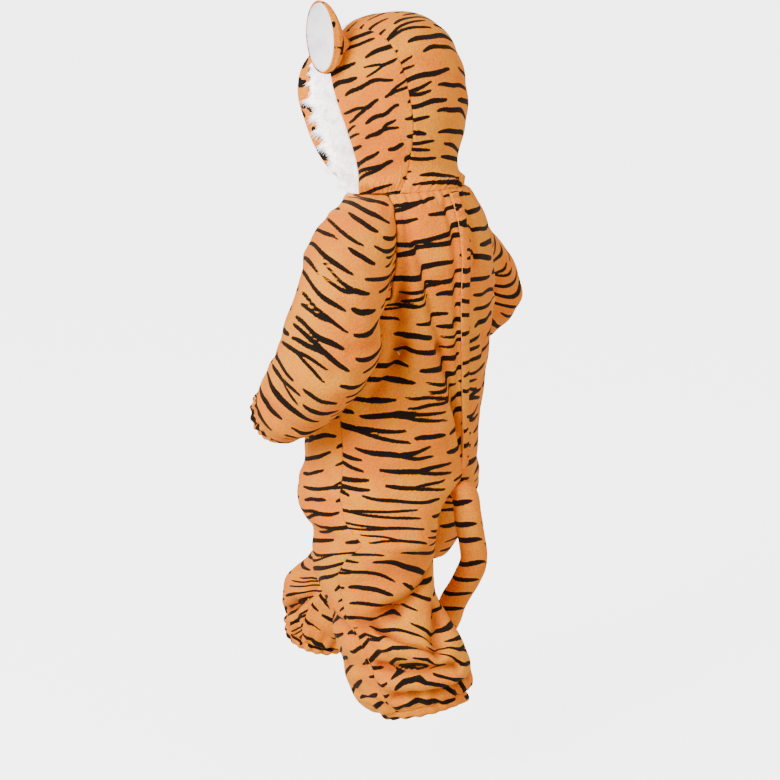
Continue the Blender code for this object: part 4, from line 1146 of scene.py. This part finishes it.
def plush_material():
    """Short orange plush with black strokes, brushed in soft patches, with painted shade deepening it in
    creases, plain behind.
    """
    material = bpy.data.materials.new("tiger_plush")
    nodes, links = nodes_of(material)
    shader = nodes["Principled BSDF"]
    place = add_node(nodes, "ShaderNodeTexCoord").outputs["Object"]

    def noise(scale, detail, rough):
        node = add_node(nodes, "ShaderNodeTexNoise", None, Scale=scale, Detail=detail, Roughness=rough)
        links.new(place, node.inputs["Vector"])
        return node.outputs["Fac"]

    def attribute(name):
        return add_node(nodes, "ShaderNodeAttribute", {"attribute_name": name}).outputs["Fac"]

    def maths(operation, first, second):
        node = add_node(nodes, "ShaderNodeMath", {"operation": operation})
        for socket, value in ((node.inputs[0], first), (node.inputs[1], second)):
            if isinstance(value, bpy.types.NodeSocket):
                links.new(value, socket)
            else:
                socket.default_value = value
        return node.outputs[0]

    patches = remapped(nodes, links, noise(*PATCHES), *PATCH_RANGE)
    ground = mixed(nodes, links, patches, MID_ORANGE, LIGHT_ORANGE)
    # Painted shade: the orange is deepened where the relief sinks into a crease
    painted_crease_shade = remapped(nodes, links, attribute("depth"), *CREASE_PAINTED_SHADE_DEPTHS)
    ground = mixed(nodes, links, maths("MULTIPLY", painted_crease_shade, CREASE_PAINTED_SHADE_SHARE), ground, CREASE_PAINTED_SHADE_ORANGE)
    fibre = remapped(nodes, links, noise(*FIBRES), *FIBRE_RANGE)
    ragged = maths("MULTIPLY", maths("SUBTRACT", noise(*RAGGED), 0.5), RAGGED_BY)
    edge = maths("ADD", attribute("stripe"), ragged)
    stroke = remapped(nodes, links, edge, *STROKE_EDGE)
    colour = mixed(nodes, links, stroke, ground, STRIPE_BLACK)
    colour = mixed(nodes, links, attribute("inside"), colour, BACKING)
    shade = add_node(nodes, "ShaderNodeVectorMath", {"operation": "SCALE"})
    links.new(colour, shade.inputs[0])
    links.new(fibre, shade.inputs["Scale"])
    links.new(shade.outputs[0], shader.inputs["Base Color"])
    shader.inputs["Roughness"].default_value = 0.9
    shader.inputs["Specular IOR Level"].default_value = 0.15
    shader.inputs["Sheen Weight"].default_value = 0.06
    shader.inputs["Sheen Roughness"].default_value = 0.45
    shader.inputs["Sheen Tint"].default_value = (1.0, 0.62, 0.30, 1)
    tuft = add_node(nodes, "ShaderNodeBump", None, Strength=0.8, Distance=0.0026)
    links.new(noise(*TUFTS), tuft.inputs["Height"])
    links.new(tuft.outputs[0], shader.inputs["Normal"])
    return material


def white_material(name, colour, shade, scale, painted_glow):
    """White pile, with painted shade between its locks and a painted glow."""
    material = bpy.data.materials.new(name)
    nodes, links = nodes_of(material)
    shader = nodes["Principled BSDF"]
    place = add_node(nodes, "ShaderNodeTexCoord").outputs["Object"]
    noise = add_node(nodes, "ShaderNodeTexNoise", None, Scale=scale, Detail=5.0, Roughness=0.65)
    links.new(place, noise.inputs["Vector"])
    # Painted shade between the locks, placed by noise
    share = remapped(nodes, links, noise.outputs["Fac"], *LOCK_RANGE)
    tone = mixed(nodes, links, share, shade, colour)
    links.new(tone, shader.inputs["Base Color"])
    # Painted light: the pile glows in its own tone
    links.new(tone, shader.inputs["Emission Color"])
    shader.inputs["Roughness"].default_value = 0.85
    shader.inputs["Specular IOR Level"].default_value = 0.2
    shader.inputs["Sheen Weight"].default_value = 0.3
    shader.inputs["Emission Strength"].default_value = painted_glow
    bump = add_node(nodes, "ShaderNodeBump", None, Strength=0.6, Distance=0.002)
    links.new(noise.outputs["Fac"], bump.inputs["Height"])
    links.new(bump.outputs[0], shader.inputs["Normal"])
    return material


def soft_piece(name, sheet, material, cut, closed=False):
    """A shell of the sheet. Its cut is not used."""
    piece = shell(name, sheet, material, closed)


def body_panel(name, side, number, half, plush):
    """One long panel, neck to ankle. The stripes run on from the side seam below the underarm."""
    grid = finer(half[name], *BODY_POINTS)
    inside = smooth(half[name + "_inside"], np.linspace(0, len(half[name]) - 1, BODY_POINTS[0]))
    sheet = sheet_of(grid, inside, ALL_EDGES)
    front = name == "front"
    key = f"{name}_{side}"
    from_centre = sheet["s"] if front else sheet["s"][:, -1:] - sheet["s"]
    part = np.linspace(0, 0.5, BODY_POINTS[1])[None] + (0 if front else 0.5) + 0 * from_centre
    from_hem = sheet["h"][-1:] - sheet["h"]
    relief = gathers(part, from_hem, ANKLE_GATHERS, SEED["ankle_gathers"] + number)
    relief += gathers(part, sheet["h"], NECK_GATHERS, SEED["neck_gathers"])
    seed = SEED["body_waves"] + 2 * number + front
    relief += soft_waves(from_centre, sheet["h"], seed, WAVE_HEIGHT["body"])
    sheet["relief"] = relief
    width = from_centre.max(1, keepdims=True)
    station = np.linspace(0, len(half[name]) - 1, BODY_POINTS[0])[:, None]
    below_underarm = station >= YOKE_ROWS - 1
    extra = np.where(below_underarm, width - width[np.argmax(below_underarm)], 0)
    sheet["s"] = (from_centre - extra) * (1 if front else -1)
    add_folds(sheet, key, from_centre, grid[..., 2])
    sheet["relief"] = sheet["relief"] * np.clip(sheet["from_edge"] / EDGE_QUIET, LEAST_RELIEF["body"], 1)
    sheet["field"] = stroke_field(sheet["s"], sheet["h"], key)
    soft_piece(key, sheet, plush, sheet_of(grid, inside))


def sleeve_piece(side, number, rings, plush):
    """A raglan sleeve, one tube with its seam under the arm."""
    name = "sleeve_" + side
    grid = finer(rings, *SLEEVE_POINTS, closed=True)
    inside = grid.mean(1, keepdims=True)
    sheet = sheet_of(grid, inside, ("top", "bottom"), closed=True)
    top = sheet["s"][:, SLEEVE_POINTS[1] // 2][:, None]
    around = np.linspace(0, 1, SLEEVE_POINTS[1], endpoint=False)[None] + 0 * sheet["s"]
    from_hem = sheet["h"][-1:] - sheet["h"]
    relief = gathers(around, from_hem, CUFF_GATHERS, SEED["cuff_gathers"] + number)
    relief += soft_waves(sheet["s"] - top, from_hem, SEED["sleeve_waves"] + number, WAVE_HEIGHT["sleeve"])
    under_seam = np.minimum(sheet["s"], sheet["s"][:, -1:] - sheet["s"])
    sheet["relief"] = relief - rolled(under_seam)
    sheet["s"] = sheet["s"] - top
    sheet["h"] = from_hem
    add_folds(sheet, name, sheet["s"], from_hem)
    sheet["field"] = stroke_field(sheet["s"], sheet["h"], name)
    soft_piece(name, sheet, plush, sheet_of(grid, inside, closed=True), closed=True)


def body_sheets(plush):
    """The four long panels, the two raglan sleeves, and the casings at wrists and ankles."""
    left, stations = body_half("left")
    right, _ = body_half("right")
    join_halves(left, right, stations)
    halves = {"left": left, "right": right}
    for number, (side, half) in enumerate(halves.items()):
        for name in ("front", "back"):
            body_panel(name, side, number, half, plush)
        rings = sleeve_rings(side, half, stations)
        sleeve_piece(side, number, rings, plush)
        leg = [np.concatenate([half["front"][row], half["back"][row, 1:-1]]) for row in (-1, -3)]
        casing_piece("ankle_casing_" + side, leg[0], leg[1], ANKLE_CASING, plush)
        casing_piece("wrist_casing_" + side, rings[-1], rings[-3], WRIST_CASING, plush)
    return halves


def casing_piece(name, ring, before, size, plush):
    """A narrow gathered band that carries on from a limb's last ring and turns in at its hem."""
    centre = ring.mean(0)
    along = unit(centre - before.mean(0))
    count = int(size["waves"]) * CASING_POINTS_A_WAVE
    places = np.arange(count) / count * len(ring)
    base = smooth(np.concatenate([ring[-1:], ring, ring[:2]]), places + 1)
    around = np.arange(count) / count
    out = base - centre
    out = unit(out - (out @ along)[:, None] * along)
    rng = np.random.default_rng(int(size["waves"]))
    uneven = CASING_UNEVEN * np.sin(2 * math.pi * UNEVEN_TURNS * around + rng.uniform())
    ripple = np.cos(2 * math.pi * size["waves"] * around + uneven)
    rows = []
    for part in np.linspace(0, 1, CASING_ROWS):
        belly = math.sin(math.pi * part) ** BELLY_POWER
        wave = size["wave_depth"] * (size["wave_at_seam"] + (1 - size["wave_at_seam"]) * part) * ripple
        draw = size["inset"] * (CASING_DRAWN_IN - BELLY_LET_OUT * belly) + HEM_TURN * part**HEM_TURN_POWER
        down = part * size["length"] - CASING_TUCKED * (1 - part)
        rows.append(base + along * down + out * (wave - draw)[:, None])
    grid = np.array(rows)
    sheet = sheet_of(grid, grid.mean(1, keepdims=True), ("top", "bottom"), closed=True)
    sheet["field"] = stroke_field(sheet["s"], sheet["h"], "casing", len(name))
    soft_piece(name, sheet, plush, sheet, closed=True)


def hood_sheets(plush):
    """The hood's centre and side panels and the striped front strip."""
    grids = hood_grids()
    inside = np.array(HOOD_MIDDLE)
    sizes = {
        "hood_centre": HOOD_CENTRE_POINTS,
        "hood_side_left": HOOD_SIDE_POINTS,
        "hood_side_right": HOOD_SIDE_POINTS,
        "hood_strip": HOOD_STRIP_POINTS,
    }
    for number, (name, size) in enumerate(sizes.items()):
        grid = finer(grids[name], *size)
        sheet = sheet_of(grid, inside, ALL_EDGES)
        if name == "hood_centre":
            sheet["s"] = sheet["s"] - sheet["s"][:, -1:] / 2
            sheet["h"] = sheet["h"].mean(1, keepdims=True) + 0 * sheet["h"]
        sheet["relief"] = soft_waves(sheet["s"], sheet["h"], SEED["hood_waves"] + number, WAVE_HEIGHT["hood"])
        if name != "hood_strip":
            neck_end = sheet["h"] if name != "hood_centre" else sheet["h"][-1:] - sheet["h"]
            around = np.linspace(0, 1, size[1])[None] + 0 * neck_end
            sheet["relief"] += gathers(around, neck_end, NECK_GATHERS, SEED["hood_gathers"] + number)
            above = (neck_end - BLOUSE["above"]) / BLOUSE["width"]
            sheet["relief"] += BLOUSE["height"] * np.exp(-(above**2))
        sheet["relief"] *= np.clip(sheet["from_edge"] / EDGE_QUIET, LEAST_RELIEF["hood"], 1)
        sheet["field"] = stroke_field(sheet["s"], sheet["h"], name)
        soft_piece(name, sheet, plush, sheet_of(grid, inside))
    return grids


def fur_trim(coarse, fur):
    """The white fur band's skin, as thick as its backing and flattened pile, and then its grid and sheet."""
    grid = finer(coarse, *HOOD_FUR_POINTS)
    inside = np.array(HOOD_MIDDLE)
    sheet = sheet_of(grid, inside, ALL_EDGES)
    pile = fur_pile(HOOD_FUR_POINTS[0])
    across = np.linspace(0, 1, HOOD_FUR_POINTS[1]) * (pile.shape[1] - 1)
    pile = smooth(pile.T, across).T
    closer_across, closer_down = FUR_WAVES_CLOSER
    waves = soft_waves(
        sheet["s"] * closer_across, sheet["h"] * closer_down, SEED["fur_waves"], WAVE_HEIGHT["fur"]
    )
    sheet["relief"] = FUR_SKIN_SHARE * pile + waves * np.clip(pile / pile.max(), LEAST_FUR_WAVES, 1)
    sheet["field"] = np.full(pile.shape, FAR_FROM_STROKES)
    soft_piece("hood_fur", sheet, fur, sheet_of(grid, inside))
    return grid, sheet


def strand_paths(grid, sheet):
    """The strands of the white fur: their points from root to tip, and two directions square to each."""
    surface = grid + sheet["normals"] * sheet["relief"][..., None]
    rng = np.random.default_rng(SEED["strands"])
    rows, columns = grid.shape[:2]
    row = rng.uniform(2, rows - 3, FUR_STRANDS)
    column = rng.uniform(0.5, columns - 2, FUR_STRANDS)
    r, c = row.astype(int), column.astype(int)
    root = surface[r, c] + (surface[r + 1, c] - surface[r, c]) * (row - r)[:, None]
    root = root + (surface[r, c + 1] - surface[r, c]) * (column - c)[:, None]
    normal = sheet["normals"][r, c]
    outwards = unit(grid[r, -1] - grid[r, 0])
    along = unit(np.gradient(grid, axis=0)[r, c])
    stand = np.interp(np.linspace(-1, 1, rows), *zip(*FUR_STANDS))[r]
    phase = 2 * math.pi * row / TUFT_ROWS + TUFT_DRIFT * np.sin(row * DRIFT_RATE)
    tuft = (0.5 + 0.5 * np.cos(phase)) ** TUFT_SHARPNESS
    swing = rng.normal(*STRAND_LEAN, FUR_STRANDS) - LEAN_INTO_TUFT * np.sin(phase)
    lean = unit(outwards + along * swing[:, None])
    length = STRAND["shortest"] + (STRAND["longest"] - STRAND["shortest"]) * tuft
    length = length * rng.uniform(*LENGTH_RANGE, FUR_STRANDS) * (LEAST_LENGTH + (1 - LEAST_LENGTH) * stand)
    lift = STRAND["lift"] * rng.uniform(*LIFT_RANGE, FUR_STRANDS) * (LEAST_LIFT + (1 - LEAST_LIFT) * stand)
    part = np.linspace(0, 1, STRAND["points"])[None, :, None]
    reach = length[:, None, None] * part
    risen = lift[:, None, None] * reach * (1 - TIP_FADE * part)
    paths = root[:, None] + lean[:, None] * reach + normal[:, None] * risen
    paths[..., 2:] -= STRAND["droop"] * (length[:, None] * part[..., 0] ** 2)[..., None]
    return paths, unit(np.cross(lean, normal)), normal


def fur_strands(grid, sheet, fur):
    """The white fur's loose strands, each a thin closed spike."""
    paths, side, normal = strand_paths(grid, sheet)
    part = np.linspace(0, 1, STRAND["points"])[None, :, None]
    thick = STRAND["radius"] * (1 - TIP_FADE * part)
    corners = []
    for corner in range(STRAND_CORNERS):
        angle = math.radians(360 / STRAND_CORNERS * corner)
        offset = math.cos(angle) * side + math.sin(angle) * normal
        corners.append(paths + offset[:, None] * thick)
    points = np.stack(corners, 2)
    number = np.arange(points[..., 0].size).reshape(points.shape[:3])
    faces = []
    for first in range(STRAND_CORNERS):
        second = (first + 1) % STRAND_CORNERS
        run = (number[:, :-1, first], number[:, :-1, second], number[:, 1:, second], number[:, 1:, first])
        faces += np.stack(run, -1).reshape(-1, 4).tolist()
    faces += number[:, 0, ::-1].tolist() + number[:, -1].tolist()
    strands = add_piece("hood_fur_strands", points.reshape(-1, 3), faces, fur)
    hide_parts("hood_fur")


def ear(side, coarse_panel, plush, lining):
    """A cupped ear of striped plush, rolled over its rim round a white lining."""
    table = dict(zip(EAR_COLUMNS, EARS[side]))
    mirror = np.array([1.0 if side == "left" else -1.0, 1.0, 1.0])
    facing = unit(np.array(table["facing"]) * mirror)
    up = np.array(table["up"]) * mirror
    up = unit(up - (up @ facing) * facing)
    across = np.cross(facing, up)
    centre = np.array(table["centre"]) * mirror
    rows, columns = coarse_panel.shape[:2]
    seat_column = round(table["seat_place"][0] * (columns - 1))
    seat_row = round(table["seat_place"][1] * (rows - 1))
    seat_normal = unit(surface_normals(coarse_panel, np.array(HOOD_MIDDLE))[seat_row, seat_column])
    seat = coarse_panel[seat_row, seat_column] + LAID_ON_GAP * seat_normal
    angle = 2 * math.pi * np.arange(EAR_POINTS[1]) / EAR_POINTS[1]
    oval = EAR_HALF_WIDTH * np.cos(angle)[:, None] * across + EAR_HALF_HEIGHT * np.sin(angle)[:, None] * up
    flat_across = unit(across - (across @ seat_normal) * seat_normal)
    flat_up = unit(up - (up @ seat_normal) * seat_normal)
    disc = EAR_SEAT_RADIUS * (np.cos(angle)[:, None] * flat_across + np.sin(angle)[:, None] * flat_up)
    rings = [centre + (seat - centre) * towards + oval * size for size, towards in EAR_SHELL]
    outer = smooth(np.array(rings + [seat + disc]), np.linspace(0, len(rings), EAR_POINTS[0]))
    inward = cup_inward(outer, facing)
    inner = outer + EAR_WALL * inward
    s, h = measures(outer)
    field = stroke_field(s - s[:, -1:] / 2, h, "ear", 1 if side == "left" else 2)
    rim_outside = outer[0] - inward[0] * EAR_RIM_ROLL * RIM_ROLLED_BACK + facing * EAR_RIM_ROLL
    rim_inside = inner[0] + facing * EAR_RIM_ROLL * RIM_ROLLED_IN
    loop = np.concatenate([inner[::-1], rim_inside[None], rim_outside[None], outer])
    stripe = np.concatenate([field[::-1], field[:1], field[:1], field])
    cup("ear_" + side, loop, stripe, plush)

    start = round(EAR_POINTS[0] * EAR_LINING_START / len(rings))
    back = inner[start:-2] + 2 * LAID_ON_GAP * cup_inward(inner[start:-2], facing)
    front = back + EAR_LINING_WALL * cup_inward(back, facing)
    lip = (back[0] + front[0]) / 2 + facing * EAR_RIM_ROLL
    loop = np.concatenate([back[::-1], lip[None], front])[::-1]
    cup("ear_inner_" + side, loop, np.full(loop.shape[:2], FAR_FROM_STROKES), lining)


def cup(name, loop, stripe, material):
    """A cup as rings that run from the middle of one face over its rim to the middle of the other."""
    rows, columns = loop.shape[:2]
    points = np.concatenate([loop.reshape(-1, 3), loop[:1].mean(1), loop[-1:].mean(1)])
    faces = capped(rows, columns)
    attributes = {"stripe": np.append(stripe.ravel(), [FAR_FROM_STROKES] * 2)}
    piece = add_piece(name, points, faces, material, attributes)
    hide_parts(name)


def placket(halves, plush):
    """The narrow band over the centre back closing, a little wavy from the gathers under it."""
    rows = np.flatnonzero(body_stations() > PLACKET_END_STATION)[0]
    left, right = halves["left"]["back"][1:rows], halves["right"]["back"][1:rows]
    middle = left[:, -1]
    normals = surface_normals(halves["left"]["back"], halves["left"]["back_inside"])[1:rows, -1]
    normals = normals + surface_normals(halves["right"]["back"], halves["right"]["back_inside"])[1:rows, -1]
    normals = unit(normals)
    reach = PLACKET_WIDTH / 2
    ends = [middle + unit(panel[:, -2] - middle) * reach for panel in (left, right)]
    base = np.stack([ends[0], middle, ends[1]], 1)
    lifted = base + normals[:, None] * (LAID_ON_GAP + PLACKET_EDGE_LIFT + PLACKET_THICKNESS)
    grid = finer(lifted, *PLACKET_POINTS)
    inwards = unit(smooth(normals, np.linspace(0, len(normals) - 1, PLACKET_POINTS[0])))[:, None]
    sheet = sheet_of(grid, finer(base, *PLACKET_POINTS) - PLACKET_INSIDE * inwards, ALL_EDGES)
    near_neck = np.clip(1 - sheet["h"] / PUCKER["reach"], 0, 1)
    puckers = np.sin(2 * math.pi * sheet["h"] / PUCKER["length"] + PUCKER["slant"] * sheet["s"])
    sheet["relief"] = PUCKER["depth"] * near_neck * puckers
    sheet["field"] = stroke_field(sheet["s"], sheet["h"], "back_placket")
    soft_piece("back_placket", sheet, plush, sheet)


def tail_stripes(h):
    """How far each point of the tail lies outside the nearest stripe, minus inside one. Two stripes lie end
    to end round each level."""
    stripes = TAIL_STROKES
    pitch = stripes["pitch"]
    rng = np.random.default_rng(stripes["seed"])
    field = np.full(h.shape, FAR_FROM_STROKES)
    degrees = np.broadcast_to(np.arange(h.shape[1]) * 360.0 / h.shape[1], h.shape)
    for level in np.arange(stripes["first"], h.max() / pitch - stripes["last"]) * pitch:
        for first in (0.0, 180.0):
            middle = first + rng.uniform(-stripes["strays_round"], stripes["strays_round"])
            turn = rng.uniform(*stripes["turns"]) / 2
            away = (degrees - middle + 180) % 360 - 180
            part = np.clip(np.abs(away) / turn, 0, 1)
            line = level + rng.uniform(-stripes["strays"], stripes["strays"]) * pitch
            line = line - rng.uniform(*stripes["lean_range"]) * stripes["lean"] * away / 90
            half = stripes["half"] * (1 - part**3) - 0.001 * (part >= 1)
            field = np.minimum(field, np.abs(h - line) - half)
    return field


def tail(plush):
    """The stuffed tail, striped across."""
    rows = np.array(TAIL)
    path = smooth(rows, np.linspace(0, len(rows) - 1, TAIL_POINTS[0]))
    rings = tube_along(path[:, :3], path[:, 3], TAIL_POINTS[1])
    s, h = measures(rings)
    normals = unit(rings - path[:, None, :3])
    rings = rings + normals * soft_waves(s, h, SEED["tail_waves"], WAVE_HEIGHT["tail"])[..., None]
    field = tail_stripes(h)
    points = np.concatenate([rings.reshape(-1, 3), path[:1, :3], path[-1:, :3]])
    faces = [tuple(reversed(face)) for face in capped(*TAIL_POINTS)]
    attributes = {"stripe": np.append(field.ravel(), [FAR_FROM_STROKES] * 2)}
    piece = add_piece("tail", points, faces, plush, attributes)
    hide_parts("tail")


def facing(place, aim):
    """The turn with which a camera or a light at a place faces the aim."""
    return (Vector(aim) - place).to_track_quat("-Z", "Y").to_euler()


def settle_camera():
    """The photo's own place."""
    data = bpy.data.cameras.new("camera")
    camera = bpy.data.objects.new("camera", data)
    bpy.context.scene.collection.objects.link(camera)
    data.sensor_width = SENSOR_MM
    data.lens = CAMERA_FOCAL_PIXELS * SENSOR_MM / FRAME_PIXELS
    round_to_left = math.radians(CAMERA_AZIMUTH)
    camera.location = (
        CAMERA_DISTANCE * math.sin(round_to_left),
        -CAMERA_DISTANCE * math.cos(round_to_left),
        CAMERA_HEIGHT - NECK_HEIGHT,
    )
    camera.rotation_euler = facing(camera.location, (0, 0, CAMERA_AIM_HEIGHT - NECK_HEIGHT))
    bpy.context.scene.camera = camera


def stage():
    """A pale seamless floor, a pale sky and two soft lights."""
    mesh = bpy.data.meshes.new("floor")
    signs = ((-1, -1), (1, -1), (1, 1), (-1, 1))
    corners = [(x * FLOOR_REACH, y * FLOOR_REACH, -NECK_HEIGHT) for x, y in signs]
    mesh.from_pydata(corners, [], [(0, 1, 2, 3)])
    floor = bpy.data.objects.new("floor", mesh)
    bpy.context.scene.collection.objects.link(floor)
    material = bpy.data.materials.new("pale_floor")
    nodes, _ = nodes_of(material)
    shader = nodes["Principled BSDF"]
    shader.inputs["Base Color"].default_value = FLOOR_GREY
    shader.inputs["Roughness"].default_value = 1.0
    shader.inputs["Specular IOR Level"].default_value = 0.0
    shader.inputs["Emission Color"].default_value = FLOOR_GREY
    shader.inputs["Emission Strength"].default_value = FLOOR_GLOW
    mesh.materials.append(material)
    floor.visible_diffuse = False
    floor.visible_glossy = False
    world = bpy.data.worlds.new("studio")
    bpy.context.scene.world = world
    world.use_nodes = True
    background = world.node_tree.nodes["Background"]
    background.inputs["Color"].default_value = SKY_COLOUR
    background.inputs["Strength"].default_value = SKY_STRENGTH
    for name, (place, size, watts) in LIGHTS.items():
        lamp = bpy.data.lights.new(name, "AREA")
        lamp.size = size
        lamp.energy = watts
        light = bpy.data.objects.new(name, lamp)
        light.location = place
        light.rotation_euler = facing(light.location, LIGHTS_FACE)
        bpy.context.scene.collection.objects.link(light)


def main():
    """The camera and the stage, then the garment piece by piece."""
    settle_camera()
    stage()
    plush = plush_material()
    fur = white_material("white_fur", FUR_WHITE, FUR_PAINTED_SHADE, FUR_GRAIN, FUR_PAINTED_GLOW)
    lining = white_material("white_plush", FUR_WHITE, LINING_PAINTED_SHADE, LINING_GRAIN, LINING_PAINTED_GLOW)
    halves = body_sheets(plush)
    grids = hood_sheets(plush)
    fur_strands(*fur_trim(grids["hood_fur"], fur), fur)
    for side in ("left", "right"):
        ear(side, grids["hood_side_" + side], plush, lining)
    placket(halves, plush)
    tail(plush)


main()
